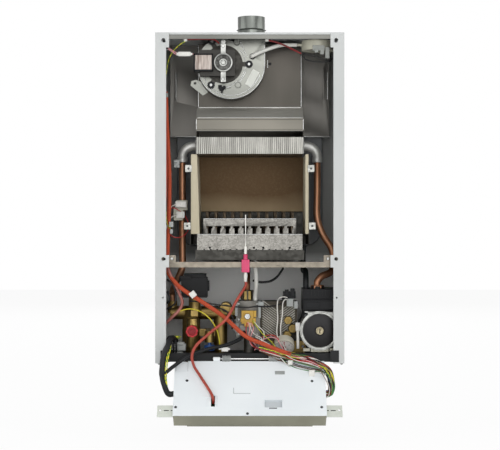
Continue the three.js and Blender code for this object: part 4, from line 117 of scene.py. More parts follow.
def finish(name, metallic, roughness, gloss=0.5):
    """A new material for a slot, with its shader: its maker links colour, roughness and bump."""
    material = bpy.data.materials.new(name)
    material.use_nodes = True
    tree = material.node_tree
    tree.nodes.clear()
    shader = node(tree, "ShaderNodeBsdfPrincipled",
                  {"Metallic": metallic, "Roughness": roughness, "Specular IOR Level": gloss})
    node(tree, "ShaderNodeOutputMaterial", {"Surface": shader.outputs[0]})
    place = node(tree, "ShaderNodeTexCoord").outputs["Object"]
    return material, tree, shader, place


def mottle(tree, place, millimetres, stretch=(1, 1, 1)):
    """Noise whose patches are about so many millimetres across, drawn out along one side."""
    spread = node(tree, "ShaderNodeMapping", {"Vector": place, "Scale": stretch}).outputs[0]
    return node(tree, "ShaderNodeTexNoise",
                {"Vector": spread, "Scale": 500 / millimetres, "Detail": 3}).outputs["Fac"]


def between(tree, factor, low, high, dark, light):
    """Colours from dark to light, as factor goes from low to high."""
    share = node(tree, "ShaderNodeMapRange", {0: factor, 1: low, 2: high}).outputs[0]
    return node(tree, "ShaderNodeMix", {0: share, 6: paint(dark), 7: paint(light)},
                data_type="RGBA").outputs[2]


def relief(tree, shader, height, millimetres):
    """Bumps of that height at most."""
    bump = node(tree, "ShaderNodeBump",
                {"Height": height, "Distance": millimetres / 1000, "Strength": 1.0})
    tree.links.new(bump.outputs[0], shader.inputs["Normal"])


# How far the patches' noise goes from dark to light: soft edged, or sharper.
SOFT = (0.3, 0.7)
SHARP = (0.35, 0.65)


def surface(name, metallic, roughness, patch, dark, light, grain=None, gloss=0.5, tones=SOFT,
            stretch=(1, 1, 1)):
    """Colour in patches so many millimetres across, from dark to light, over a grain of bumps:
    millimetres across and millimetres high."""
    material, tree, shader, place = finish(name, metallic, roughness, gloss)
    colour = between(tree, mottle(tree, place, patch, stretch), *tones, dark, light)
    tree.links.new(colour, shader.inputs["Base Color"])
    if grain:
        relief(tree, shader, mottle(tree, place, grain[0]), grain[1])
    return material


def rubber(name, dark, light, roughness, gloss=0.4):
    """Silicone and rubber: soft sheen, a fine skin and a little dust."""
    return surface(name, 0, roughness, 18, dark, light, (1.2, 0.08), gloss, (0.35, 0.7))


lead_sleeve = rubber("orange_silicone_sleeve", "#923426", "#b24c39", 0.45)


def smooth_path(points, step=2.5):
    """A smooth line through the points, as the solids have it, with a point about each step."""
    row = [Vector(p) for p in points]
    row = [2 * row[0] - row[1]] + row + [2 * row[-1] - row[-2]]
    line = []
    for a, b, c, d in zip(row, row[1:], row[2:], row[3:]):
        pieces = max(2, round((c - b).length / step))
        for i in range(pieces):
            t = i / pieces
            u, v = (c - a) / 2, (d - b) / 2
            line.append((2 * b - 2 * c + u + v) * t ** 3
                        + (3 * c - 3 * b - 2 * u - v) * t ** 2 + u * t + b)
    line.append(row[-2])
    return [at(*p) for p in line]


def node_group(name, sizes):
    """An empty geometry tree with named inputs, and its first and last nodes."""
    tree = bpy.data.node_groups.new(name, "GeometryNodeTree")
    tree.interface.new_socket("Geometry", in_out="INPUT", socket_type="NodeSocketGeometry")
    for size, kind in sizes:
        tree.interface.new_socket(size, in_out="INPUT", socket_type=f"NodeSocket{kind}")
    tree.interface.new_socket("Geometry", in_out="OUTPUT", socket_type="NodeSocketGeometry")
    given = tree.nodes.new("NodeGroupInput").outputs
    return tree, given


def close_tree(tree, geometry, material):
    """Ends a tree: instances made real, and the material set."""
    real = node(tree, "GeometryNodeRealizeInstances", {"Geometry": geometry})
    dressed = node(tree, "GeometryNodeSetMaterial", {"Geometry": real.outputs[0], "Material": material})
    node(tree, "NodeGroupOutput", {"Geometry": dressed.outputs[0]})


def plain_mesh(holder):
    """The mesh that an object's modifiers or letters make."""
    bpy.context.view_layer.update()
    return bpy.data.meshes.new_from_object(
        holder.evaluated_get(bpy.context.evaluated_depsgraph_get()))


def grow(name, vertices, edges, tree, **values):
    """Runs a geometry tree on points or lines and keeps the plain mesh it makes."""
    seed = bpy.data.meshes.new(name)
    seed.from_pydata([tuple(v) for v in vertices], edges, [])
    holder = placed(name, seed)
    growth = holder.modifiers.new("growth", "NODES")
    growth.node_group = tree
    for item in tree.interface.items_tree:
        if item.in_out == "INPUT" and item.name in values:
            growth[item.identifier] = values[item.name]
    mesh = plain_mesh(holder)
    holder.modifiers.remove(growth)
    bpy.data.objects.remove(holder)
    mesh.name = name
    return placed(name, mesh)


# A round section drawn along a line, with rings pressed into it where it is corrugated.
hose_tree, given = node_group("hose", [
    ("Radius", "Float"), ("Sides", "Int"), ("Ring Pitch", "Float"), ("Ring Depth", "Float"),
    ("Material", "Material")])


def stored(geometry, name, value):
    """Keeps a value on each point of a line under a name."""
    return node(hose_tree, "GeometryNodeStoreNamedAttribute",
                {"Geometry": geometry, "Name": name, "Value": value},
                data_type="FLOAT", domain="POINT").outputs[0]


line = node(hose_tree, "GeometryNodeMeshToCurve", {"Mesh": given["Geometry"]}).outputs[0]
along = node(hose_tree, "GeometryNodeSplineParameter").outputs["Length"]
circle = node(hose_tree, "GeometryNodeCurvePrimitiveCircle",
              {"Resolution": given["Sides"], "Radius": given["Radius"]}).outputs[0]
around = node(hose_tree, "GeometryNodeSplineParameter").outputs["Factor"]
skin = node(hose_tree, "GeometryNodeCurveToMesh", {
    "Curve": stored(line, "along", along), "Profile Curve": stored(circle, "around", around),
    "Fill Caps": True})
length = node(hose_tree, "GeometryNodeInputNamedAttribute", {"Name": "along"},
              data_type="FLOAT").outputs[0]
turns = maths(hose_tree, "DIVIDE", length, given["Ring Pitch"])
wave = maths(hose_tree, "SINE", maths(hose_tree, "MULTIPLY", turns, math.tau))
outward = node(hose_tree, "ShaderNodeVectorMath", {
    0: node(hose_tree, "GeometryNodeInputNormal").outputs[0],
    "Scale": maths(hose_tree, "MULTIPLY", wave, given["Ring Depth"])}, operation="SCALE")
ringed = node(hose_tree, "GeometryNodeSetPosition",
              {"Geometry": skin.outputs[0], "Offset": outward.outputs[0]})
soft = node(hose_tree, "GeometryNodeSetShadeSmooth", {"Geometry": ringed.outputs[0]})
close_tree(hose_tree, soft.outputs[0], given["Material"])


def settle(piece, body="root_body", solid=None):
    """Puts a piece in the place of a solid, and on its body. A piece given no body is left on none."""
    if solid:
        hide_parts(solid)
    if body:
        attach(piece, body)
    return piece


def lines(name, routes, radius, material, body="root_body", solid=None, step=4, sides=8, rings=0,
          ring_pitch=4):
    """Wires, hoses, pipes and rolled beads along smooth lines, as one piece."""
    points, edges = [], []
    for route in routes:
        path = smooth_path(route, step)
        edges += [(len(points) + i, len(points) + i + 1) for i in range(len(path) - 1)]
        points += path
    piece = grow(name, points, edges, hose_tree, **{
        "Radius": radius / 1000, "Sides": sides, "Ring Pitch": ring_pitch / 1000,
        "Ring Depth": rings / 1000, "Material": material})
    return settle(piece, body, solid=solid)


def hose(name, solid, route, radius, material, body="root_body", step=2.5, sides=12, **rings):
    """A cable, hose or pipe in the place of its solid."""
    return lines(name, [route], radius, material, body, solid, step, sides, **rings)


def run_length(path):
    return sum((b - a).length for a, b in zip(path, path[1:]))


def cord(name, solid, route, radius, material, stiffness, lay, corner, leaves_box=False, step=2.5,
         **rings):
    """A free cord between the case and the control box, baked in place where it is drawn."""
    piece = hose(name, solid, route, radius, material, None, step, **rings)
    path = smooth_path(route, step)
    if leaves_box:
        path.reverse()
    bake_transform(piece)


cord("ignition_lead_sleeve", "ignition_lead", [
    (*ELECTRODE, 172.7), (*ELECTRODE, 163), (-27, -262, 134), (-50, -271, 94), (-84, -276, 65),
    (-112, -284, 40), (-121, -292, 19), (-117, -300, -1), on_box(-104, 52, 9),
    on_box(-83, 90, 7), on_box(-76, 106, 4), on_box(-75, 110, -9)],
     LEAD_RADIUS, lead_sleeve, "limp", "hanging", (at(-118, -288, 30), at(*on_box(-90, 80, 8))))

# ---------------------------------------------------------------- wiring sleeve
# The main loom: a bundle of wires in a braided orange-red sleeve that comes down the left side,
# crosses in front of the pipes and goes round the corner of the open control box into its side.
SLEEVE_RADIUS = 4.5
BOX_SIDE = 156.8
sleeve_route = [
    (-181, -212, 580), (-178, -214, 500), (-173, -216, 400), (-174, -220, 310), (-176, -228, 250),
    (-176, -233, 212), (-174, -237, 190), (-148, -250, 160), (-99, -256, 128), (-55, -258, 98),
    (-10, -262, 58), (32, -270, 40), (75, -277, 24), (126, -284, 12), (152, -292, 0),
    on_box(168, 40, 8), on_box(173, 64, -6), on_box(169, 80, -16), on_box(BOX_SIDE, 80, -16)]
RIGHT_CORNER = (at(126, -284, 12), at(*on_box(173, 64, -6)))
braid, tree, shader, place = finish("braided_sleeve", 0, 0.6, 0.3)


def attribute(tree, name):
    """A value stored on a hose: how far along it, or round it."""
    return node(tree, "ShaderNodeAttribute", attribute_name=name).outputs["Fac"]


run_along = attribute(tree, "along")
run_around = attribute(tree, "around")
# The plaits cross six to a turn and 3 mm apart, about twice as coarse as real ones.
PLAITS, PLAIT_PITCH = 6, 0.003
ridges = []
for lean in (PLAITS, -PLAITS):
    turn = maths(tree, "MULTIPLY", run_around, lean * math.tau)
    ridges.append(maths(tree, "SINE",
                        maths(tree, "MULTIPLY_ADD", run_along, math.tau / PLAIT_PITCH, turn)))
ridge = maths(tree, "MAXIMUM", *ridges)
# The braid is painted darker in the valleys between its plaits, as their shade.
plait_colour_and_shade = between(tree, ridge, -0.6, 1, "#8a3220", "#cb5735")
# Past the braid's end the loom's bare wires show side by side, winding round nine times a metre.
sleeve_line = smooth_path(sleeve_route)
braid_end = min(range(len(sleeve_line)), key=lambda i: (sleeve_line[i] - at(88, -279, 20)).length)
winding = maths(tree, "MULTIPLY_ADD", run_along, 9, run_around)
strands = node(tree, "ShaderNodeValToRGB", {0: maths(tree, "FRACT", winding)})
strands.color_ramp.interpolation = "CONSTANT"
for share, shade in ((0.12, "#c9bf36"), (0.25, "#191a1b"), (0.4, "#3f7d3c"), (0.5, "#8c2c24"),
                     (0.62, "#d9d6cf"), (0.74, "#191a1b"), (0.88, "#a8472f")):
    strands.color_ramp.elements.new(share).color = paint(shade)
strands.color_ramp.elements[0].color = paint("#191a1b")
strands.color_ramp.elements[-1].color = paint("#2b4f94")
past = maths(tree, "GREATER_THAN", run_along, run_length(sleeve_line[:braid_end + 1]))
shown = node(tree, "ShaderNodeMix", {0: past, 6: plait_colour_and_shade, 7: strands.outputs[0]}, data_type="RGBA")
tree.links.new(shown.outputs[2], shader.inputs["Base Color"])
relief(tree, shader, ridge, 0.15)
cord("loom_sleeve", "wiring_sleeve", sleeve_route, SLEEVE_RADIUS, braid, "limp", "loose",
     RIGHT_CORNER, leaves_box=True)

# ---------------------------------------------------------------- left cables
# Mains and sensor cables in black rubber, and a corrugated black conduit that joins them, on
# their way round the left corner into the side of the control box.
CABLE_RADIUS = 6
CONDUIT_RADIUS = 4
LEFT_CORNER = (at(-176, -283, 30), at(*on_box(-179, 66, 0)))
black_rubber = rubber("black_cable_rubber", "#111213", "#202224", 0.5, 0.22)
cord("left_cable_bundle", "left_cables", [
    (-158, -236, 45), (-163, -250, 52), (-168, -266, 50), (-173, -281, 36), (-182, -289, 10),
    (-183, -298, -20), on_box(-179, 66, 0), on_box(-170, 80, -16), on_box(-BOX_SIDE, 80, -16)],
     CABLE_RADIUS, black_rubber, "medium", "loose", LEFT_CORNER, leaves_box=True)
cord("black_conduit", "left_cables", [
    (-12, -218, 62), (-20, -238, 50), (-50, -256, 38), (-90, -266, 30), (-130, -278, 16),
    (-160, -290, -4), (-178, -297, -18), (-184, -298, -21)],
     CONDUIT_RADIUS, black_rubber, "medium", "loose", LEFT_CORNER, step=0.8, rings=0.35,
     ring_pitch=3.2)

# ---------------------------------------------------------------- small wires
# Single wires in plain PVC, 2 to 3 mm thick, and the thin sleeves some of them share. Each is
# held at both ends by the parts it joins.
# The earth wire's green stripe winds once round in about 12 mm.
EARTH_TURN = 0.012
earth, tree, shader, place = finish("green_yellow_pvc", 0, 0.4)
wound_on = maths(tree, "MULTIPLY_ADD", attribute(tree, "along"), 1 / EARTH_TURN,
                 attribute(tree, "around"))
tree.links.new(between(tree, maths(tree, "FRACT", wound_on), 0.66, 0.7, "#d8cf2e", "#4f8f3a"),
               shader.inputs["Base Color"])
relief(tree, shader, mottle(tree, place, 2), 0.04)

earth_plain = rubber("worn_yellow_pvc", "#c2b42a", "#d6c83c", 0.4, 0.3)
pvc = {shade: rubber(f"{shade}_pvc", dark, light, 0.4, 0.3) for shade, dark, light in (
    ("white", "#d6d3cc", "#e9e6df"), ("pink", "#d9949a", "#e6a9ab"), ("red", "#a8262a", "#c23a35"),
    ("blue", "#2b4f94", "#3a64ad"), ("green", "#3b6f38", "#548a4a"), ("brown", "#5b3a26", "#704a32"),
    ("dark_red", "#6e1a1c", "#862625"), ("black", "#101112", "#1a1b1c"))}

lines("earth_wire_top", [
    [(-137, -261, 682), (-146, -259, 677), (-158, -252, 668), (-167, -246, 657), (-174, -240, 643),
     (-178, -236, 622), (-180, -234, 600), (-181, -232, 560), (-182, -230, 480), (-181, -228, 400),
     (-180, -226, 330), (-178, -226, 300), (-172, -228, 286), (-168, -229, 292)]], 0.95, earth)
lines("earth_wire_low", [
    [(-184, -236, 70), (-178, -240, 86), (-160, -246, 104), (-131, -250, 114), (-106, -250, 109),
     (-84, -248, 92), (-70, -246, 68), (-64, -244, 42), (-65, -240, 34)]], 1.4, earth_plain)
lines("fan_sleeve_wires", [
    [(-133, -258, 686), (-110, -260, 687), (-90, -259, 687), (-74, -256, 686), (-66, -248, 680)]],
      1.7, pvc["dark_red"])
lines("fan_supply_wires", [
    [(-174, -255, 669), (-168, -254, 666), (-160, -252, 661), (-153, -250, 658)],
    [(-174, -253, 667), (-166, -252, 662), (-159, -250, 657), (-153, -249, 655)],
    [(-125, -249, 657), (-118, -247, 657), (-113, -243, 655), (-110, -240, 651)]], 0.85, pvc["pink"])
lines("switch_sleeve", [
    [(38, -244, 687), (52, -243, 684), (75, -240, 676), (94, -238, 667), (110, -238, 659)]],
      1.9, pvc["dark_red"])
lines("switch_wires", [
    [(108, -238, 660), (116, -238, 650), (126, -240, 644), (144, -242, 641), (160, -243, 641),
     (172, -242, 643), (176, -238, 650)],
    [(108, -238, 660), (122, -240, 657), (140, -243, 653), (158, -246, 646), (170, -244, 643)]],
      1.35, pvc["black"])
lines("second_sleeve", [
    [(-176, -236, 212), (-172, -240, 192), (-160, -244, 168), (-150, -246, 146), (-144, -247, 128),
     (-150, -248, 112), (-166, -246, 96), (-180, -242, 82), (-190, -236, 66)]], 3.4,
      rubber("faded_red_sleeve", "#8f544c", "#ad7066", 0.5))
lines("side_sleeve_strand", [
    [(-184, -222, 574), (-183, -224, 540), (-180, -226, 460), (-180, -228, 380), (-182, -230, 330),
     (-182, -236, 270), (-180, -238, 216), (-176, -240, 200)]], 3.3,
      rubber("side_red_sleeve", "#9c3020", "#c04a35", 0.5))
lines("thermostat_red_wires", [
    [(-140, -192, 312), (-133, -196, 296), (-134, -200, 280), (-146, -206, 268), (-162, -212, 266),
     (-174, -220, 276), (-180, -226, 292)],
    [(-150, -194, 322), (-166, -200, 330), (-176, -210, 322), (-180, -220, 300)]], 0.9, pvc["red"])
lines("left_black_loops", [
    [(-186, -232, 170), (-178, -242, 176), (-166, -246, 168), (-158, -246, 148), (-160, -244, 126),
     (-172, -240, 116), (-186, -236, 112)],
    [(-190, -230, 150), (-180, -240, 152), (-172, -242, 142), (-174, -240, 128), (-188, -234, 122)],
    [(-188, -240, 20), (-182, -248, 40), (-170, -252, 56), (-160, -250, 50), (-156, -246, 30),
     (-158, -242, 16)],
    [(-190, -238, 8), (-186, -246, 26), (-176, -250, 44), (-164, -249, 40), (-162, -244, 20)]],
      2.1, pvc["black"])
lines("level_black_wires", [
    [(-128, -232, 130), (-104, -236, 128), (-80, -236, 124), (-40, -236, 119), (-8, -234, 116),
     (14, -226, 118), (40, -214, 117), (66, -206, 122), (80, -200, 132)],
    [(-104, -230, 124), (-70, -232, 116), (-50, -234, 108), (-44, -232, 92), (-52, -228, 80)],
    [(-60, -232, 112), (-40, -234, 100), (-34, -232, 84), (-38, -228, 70)]], 1.6, pvc["black"])
lines("thin_black_tube", [
    [(8, -196, 172), (14, -190, 170), (26, -184, 168), (44, -180, 170), (58, -174, 178),
     (68, -166, 190), (76, -160, 203)]], 2.6, pvc["black"])
lines("coil_wires_pink", [
    [(-4, -222, 84), (0, -228, 70), (-2, -234, 56), (6, -240, 44), (14, -244, 34), (10, -248, 26)],
    [(2, -222, 82), (8, -230, 72), (4, -236, 60), (0, -240, 46), (4, -244, 36), (16, -246, 30)],
    [(20, -240, 40), (28, -246, 48), (44, -250, 54), (58, -250, 50), (64, -248, 40), (76, -250, 22),
     (90, -256, 10)]], 1.0, pvc["pink"])
lines("coil_wires_white", [
    [(0, -222, 82), (4, -232, 66), (12, -238, 58), (26, -244, 50), (18, -250, 36), (26, -256, 26),
     (46, -258, 18), (70, -260, 9)],
    [(8, -222, 86), (18, -232, 76), (30, -240, 64), (28, -246, 46), (16, -250, 40)]],
      1.0, pvc["white"])
lines("coil_wires_green", [
    [(6, -224, 88), (16, -234, 74), (28, -242, 60), (44, -250, 46), (58, -255, 30), (74, -258, 18),
     (94, -260, 9)]], 1.1, earth)
lines("coil_wires_red", [
    [(-6, -222, 82), (-8, -232, 66), (-2, -240, 50), (8, -246, 34), (20, -254, 30), (40, -259, 24)],
    [(24, -238, 52), (40, -244, 58), (54, -246, 56), (66, -244, 44)]], 1.0, pvc["red"])
lines("sensor_wires_white", [
    [(81, -212, 136), (72, -216, 138), (62, -220, 134), (59, -224, 120), (60, -228, 92),
     (58, -232, 64), (62, -238, 44), (72, -246, 26), (84, -256, 8)],
    [(82, -210, 131), (76, -216, 132), (71, -220, 124), (70, -224, 100), (66, -230, 72),
     (68, -236, 48), (78, -248, 24), (92, -258, 6)]], 1.2, pvc["white"])

# Wires that go with the main sleeve over the corner of the control box.
for shade, radius, lift, drop in (
        ("green_yellow", 1.4, 6.5, 0), ("white", 1.2, 3, 6), ("red", 1.5, 7, 5),
        ("brown", 1.2, 0, 8), ("blue", 1.2, -4, 7), ("black", 1.5, -7, 2)):
    piece = lines(f"box_wire_{shade}", [[
        (20, -262 - lift / 3, 34 - drop), (52, -270 - lift / 2, 24 - drop + lift / 3),
        (92, -276 - lift / 2, 14 - drop), (128, -286, 6 - drop + lift / 2), (150, -295, -4 - drop / 2),
        on_box(163 + lift / 3, 46 - drop / 2, 6), on_box(168 + lift / 2, 66 - drop, -5),
        on_box(166 + lift / 3, 78 - drop, -15), on_box(BOX_SIDE - 1, 80 - drop, -18)]],
        radius, earth if shade == "green_yellow" else pvc[shade], body=None)
    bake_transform(piece)

for number, (shade, start, sag, out) in enumerate((
        ("white", (12, -262, 56), 0, 0), ("black", (14, -260, 38), -9, -3),
        ("green", (6, -258, 50), -16, 2), ("pink", (22, -262, 30), 6, 5),
        ("dark_red", (34, -268, 34), 11, 7), ("green", (44, -268, 30), -4, 9),
        ("white", (60, -270, 18), -20, -6), ("black", (70, -272, 28), 13, 4),
        ("brown", (30, -264, 22), -12, -8))):
    x, y, z = start
    piece = lines(f"loom_wire_{number}", [[
        start, (x + (92 - x) * 0.5, y - 10, z * 0.62 + sag * 0.5), (92, -281, 10 + sag),
        (126, -289, 1 + sag * 0.9), (146, -294, -6 + sag * 0.5), on_box(160 + out, 42 - sag * 0.3, 7),
        on_box(170 + out * 0.8, 64 - sag * 0.4, -4), on_box(167 + out * 0.6, 80 - sag * 0.4, -14),
        on_box(BOX_SIDE - 1, 84 - sag * 0.3, -18)]], 0.85, pvc[shade], body=None)
    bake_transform(piece)

for shade, radius, lift in (("green_yellow", 1.3, 5), ("black", 1.6, -6), ("earth", 1.1, 8)):
    piece = lines(f"left_box_wire_{shade}", [[
        (-156 + lift, -238, 46 + lift), (-164, -250 - lift / 2, 52 + lift / 2),
        (-170 + lift / 2, -268, 46 + lift / 2), (-175 + lift, -282, 32), (-180 + lift, -291, 8),
        (-182 + lift, -300, -20), on_box(-177 + lift / 2, 64, 4 + lift / 4), on_box(-169, 76, -12),
        on_box(1 - BOX_SIDE, 78 - lift / 2, -17)]],
        radius, pvc["black"] if shade == "black" else earth, body=None)
    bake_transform(piece)

# ---------------------------------------------------------------- case
# Folded sheet steel with a light grey polyester coat: the back, the two sides with their
# flanges and hooking tabs, and the top with its lip. Seen edge on, it is 1.2 mm thick.

# Edges sharper than these stay crisp: on the solids, and on the pieces made here.
SOLID_EDGE = math.radians(35)
TURNED_EDGE = math.radians(30)


def dressed(name, material, body="root_body", bevel=0.3, other=(), join=True):
    """A copy of a solid with its flat faces joined and its edges rounded, in its own finish.
    Faces whose middle is within a box of other take that box's material."""
    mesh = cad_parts[name].data.copy()
    mesh.materials.clear()
    mesh.materials.append(material)
    shape = bmesh.new()
    shape.from_mesh(mesh)
    bmesh.ops.remove_doubles(shape, verts=shape.verts, dist=2e-6)
    if join:
        bmesh.ops.dissolve_limit(shape, angle_limit=math.radians(1), verts=shape.verts,
                                 edges=shape.edges)
    for second, *_ in other:
        mesh.materials.append(second)
    for face in shape.faces:
        face.smooth = True
        face.material_index = 0
        middle = face.calc_center_median()
        for index, (_, low, high) in enumerate(other):
            if all(a <= m <= b for a, m, b in zip(at(*low), middle, at(*high))):
                face.material_index = index + 1
    shape.to_mesh(mesh)
    shape.free()
    mesh.set_sharp_from_angle(angle=SOLID_EDGE)
    piece = placed(f"{name}_dressed", mesh)
    if bevel:
        edge = piece.modifiers.new("edge", "BEVEL")
        edge.width = bevel / 1000
        edge.segments = 2
        edge.limit_method = "ANGLE"
        edge.angle_limit = SOLID_EDGE
        edge.use_clamp_overlap = False
        edge.harden_normals = True
    return settle(piece, body, solid=name)


def coated_steel(name, dark, light, roughness, gloss=0.4):
    """Powder-coated sheet: a smooth skin with the faint orange peel of the oven, and dust."""
    return surface(name, 0, roughness, 120, dark, light, (3, 0.03), gloss)


def side_of(tree, place, axis):
    """How far a place lies along x, y or z: axis 0, 1 or 2."""
    return node(tree, "ShaderNodeSeparateXYZ", {"Vector": place}).outputs[axis]


case_coat = coated_steel("light_grey_powder_coat", "#bfc2c1", "#cbcdcc", 0.45)
for panel in ("left_side_panel", "right_side_panel"):
    dressed(panel, case_coat)
# The back is painted pale below the shelf as painted light, and darker above it as painted shade.
back_coat, tree, shader, place = finish("painted_light_and_shade_back", 0, 0.5, 0.4)
tree.links.new(between(tree, side_of(tree, place, 2), -0.425, -0.445, "#a3a4a1", "#f4f4f1"),
               shader.inputs["Base Color"])
relief(tree, shader, mottle(tree, place, 3), 0.03)
dressed("back_plate", case_coat, other=[(back_coat, (-200, -1.3, 0), (200, -1.1, 700))])
tray_coat = coated_steel("black_powder_coat", "#151617", "#1d1f20", 0.5, 0.22)
dressed("bottom_tray", tray_coat)


def galvanised(name, dark, light, roughness, spangle):
    """Hot-dipped zinc on sheet steel: crystals some millimetres across, each with its own
    tone, and a soft cloudy bloom over them."""
    material, tree, shader, place = finish(name, 1, roughness)
    crystal = node(tree, "ShaderNodeTexVoronoi", {"Vector": place, "Scale": 1000 / spangle})
    tone = node(tree, "ShaderNodeSeparateColor", {"Color": crystal.outputs["Color"]}).outputs[0]
    mixed = maths(tree, "MULTIPLY_ADD", tone, 0.45, mottle(tree, place, 60))
    tree.links.new(between(tree, mixed, 0.3, 1.1, dark, light), shader.inputs["Base Color"])
    dull = node(tree, "ShaderNodeMapRange",
                {0: mixed, 1: 0.3, 2: 1.1, 3: roughness + 0.1, 4: roughness - 0.08})
    tree.links.new(dull.outputs[0], shader.inputs["Roughness"])
    relief(tree, shader, mottle(tree, place, 25), 0.12)
    return material


zinc = galvanised("galvanised_sheet", "#5c5c59", "#767672", 0.42, 5)
warm_zinc = galvanised("handled_galvanised_sheet", "#68635a", "#817a6f", 0.44, 6)
spangled = galvanised("fine_spangled_sheet", "#55534f", "#83817c", 0.4, 2.6)
# A darker copy of the galvanised sheet: painted shade, for sheet that lies in shadow in the chamber, on
# the burner tray and on the fan motor's core.
dark_zinc = galvanised("shaded_galvanised_sheet", "#302f2c", "#42413e", 0.46, 7)
dressed("crossbar", warm_zinc)
dressed("chamber_shelf", zinc)


def kept(name, shape, material, body, solid=None):
    """Turns a shape in millimetres into a piece that rides on a body."""
    bmesh.ops.recalc_face_normals(shape, faces=shape.faces)
    for corner in shape.verts:
        corner.co = at(*corner.co)
    mesh = bpy.data.meshes.new(name)
    for face in shape.faces:
        face.smooth = True
    shape.to_mesh(mesh)
    shape.free()
    mesh.materials.append(material)
    mesh.set_sharp_from_angle(angle=TURNED_EDGE)
    return settle(placed(name, mesh), body, solid)


FORWARD = (0, -1, 0)
UP = (0, 0, 1)
DOWN = (0, 0, -1)


def along_axis(centre, axis):
    """Stands what is drawn round the z axis on a centre, along another axis."""
    return Matrix.Translation(centre) @ Vector(axis).to_track_quat("Z", "Y").to_matrix().to_4x4()


def turned(name, centre, axis, profile, material, body="root_body", sides=28):
    """A piece turned about an axis through its centre: steps of (out from it, along it)."""
    shape = bmesh.new()
    rings = []
    for out, up in profile:
        turns = sides if out > 0 else 1
        rings.append([shape.verts.new((out * math.cos(math.tau * i / sides),
                                       out * math.sin(math.tau * i / sides), up))
                      for i in range(turns)])
    open_ring = len(rings[0]) > 1 and len(rings[-1]) > 1
    for low, high in zip(rings, rings[1:] + ([rings[0]] if open_ring else [])):
        for i in range(sides):
            j = (i + 1) % sides
            corners = [low[i % len(low)], low[j % len(low)], high[j % len(high)], high[i % len(high)]]
            if len(low) + len(high) > 2:
                shape.faces.new(list(dict.fromkeys(corners)))
    for ring in (rings[0], rings[-1]):
        if len(ring) > 1 and not open_ring:
            shape.faces.new(ring)
    shape.transform(along_axis(centre, axis))
    return kept(name, shape, material, body)


def moulding(name, blocks, material, body="root_body", edge=0.5, turn=None, solid=None):
    """A piece of several blocks, each from its low to its high corner, with rounded edges. It
    may be turned about a centre, by an axis and degrees."""
    shape = bmesh.new()
    for low, high in blocks:
        middle = [(a + b) / 2 for a, b in zip(low, high)]
        size = [b - a for a, b in zip(low, high)]
        bmesh.ops.create_cube(shape, size=1, matrix=Matrix.Translation(middle)
                              @ Matrix.Diagonal((*size, 1)))
    if turn:
        centre, axis, degrees = turn
        shape.transform(Matrix.Translation(centre) @ Matrix.Rotation(math.radians(degrees), 4, axis)
                        @ Matrix.Translation([-c for c in centre]))
    piece = kept(name, shape, material, body, solid)
    round_edges = piece.modifiers.new("edge", "BEVEL")
    round_edges.width = edge / 1000
    round_edges.segments = 2
    return piece


# Pan-head screws with a cross recess, zinc plated, one at each point given.
screw_tree, given = node_group("cross_head_screws", [
    ("Radius", "Float"), ("Height", "Float"), ("Turn", "Vector"), ("Material", "Material")])
rim = maths(screw_tree, "MULTIPLY", given["Radius"], 0.7)
head = node(screw_tree, "GeometryNodeMeshCone", {
    "Vertices": 16, "Radius Top": rim, "Radius Bottom": given["Radius"],
    "Depth": given["Height"]}).outputs["Mesh"]
lift = node(screw_tree, "ShaderNodeCombineXYZ", {2: given["Height"]})
SLIT_LENGTH, SLIT_WIDTH = 1.1, 0.26
for ways in ((SLIT_LENGTH, SLIT_WIDTH), (SLIT_WIDTH, SLIT_LENGTH)):
    wide, high = (maths(screw_tree, "MULTIPLY", given["Radius"], way) for way in ways)
    size = node(screw_tree, "ShaderNodeCombineXYZ", {0: wide, 1: high, 2: given["Height"]})
    block = node(screw_tree, "GeometryNodeMeshCube", {"Size": size.outputs[0]})
    slit = node(screw_tree, "GeometryNodeTransform",
                {"Geometry": block.outputs["Mesh"], "Translation": lift.outputs[0]})
    head = node(screw_tree, "GeometryNodeMeshBoolean", {"Mesh 1": head, "Mesh 2": slit.outputs[0]},
                operation="DIFFERENCE").outputs["Mesh"]
facing = node(screw_tree, "FunctionNodeEulerToRotation", {0: given["Turn"]})
set_in = node(screw_tree, "GeometryNodeInstanceOnPoints", {
    "Points": given["Geometry"], "Instance": head, "Rotation": facing.outputs[0]})
close_tree(screw_tree, set_in.outputs[0], given["Material"])
plated = surface("zinc_plated_screw_steel", 1, 0.3, 4, "#7f807f", "#b3b4b1")
black_zinc = surface("black_zinc_screw_steel", 1, 0.4, 3, "#333435", "#57595a")
TO_FRONT = (math.pi / 2, 0, 0)
TO_COVER = (math.pi / 4, 0, 0)


def screws(name, places, radius, height=1.8, turn=TO_FRONT, material=plated, body="root_body"):
    piece = grow(name, [at(*p) for p in places], [], screw_tree, **{
        "Radius": radius / 1000, "Height": height / 1000, "Turn": turn, "Material": material})
    return settle(piece, body)


# A row of equal plates, started at each point given: ribs, cells of a connector, fins.
row_tree, given = node_group("row_of_plates", [
    ("Count", "Int"), ("Step", "Vector"), ("Size", "Vector"), ("Lean", "Vector"),
    ("Material", "Material")])
plate = node(row_tree, "GeometryNodeMeshCube", {"Size": given["Size"]})
row = node(row_tree, "GeometryNodeMeshLine", {"Count": given["Count"], "Offset": given["Step"]})
leaning = node(row_tree, "FunctionNodeEulerToRotation", {0: given["Lean"]})
one_row = node(row_tree, "GeometryNodeInstanceOnPoints", {
    "Points": row.outputs[0], "Instance": plate.outputs["Mesh"], "Rotation": leaning.outputs[0]})
all_rows = node(row_tree, "GeometryNodeInstanceOnPoints", {
    "Points": given["Geometry"], "Instance": one_row.outputs[0]})
close_tree(row_tree, all_rows.outputs[0], given["Material"])


def plates(name, starts, count, step, size, material, lean=(0, 0, 0), solid=None):
    piece = grow(name, [at(*s) for s in starts], [], row_tree, **{
        "Count": count, "Step": [s / 1000 for s in step], "Size": [s / 1000 for s in size],
        "Lean": lean, "Material": material})
    return settle(piece, solid=solid)


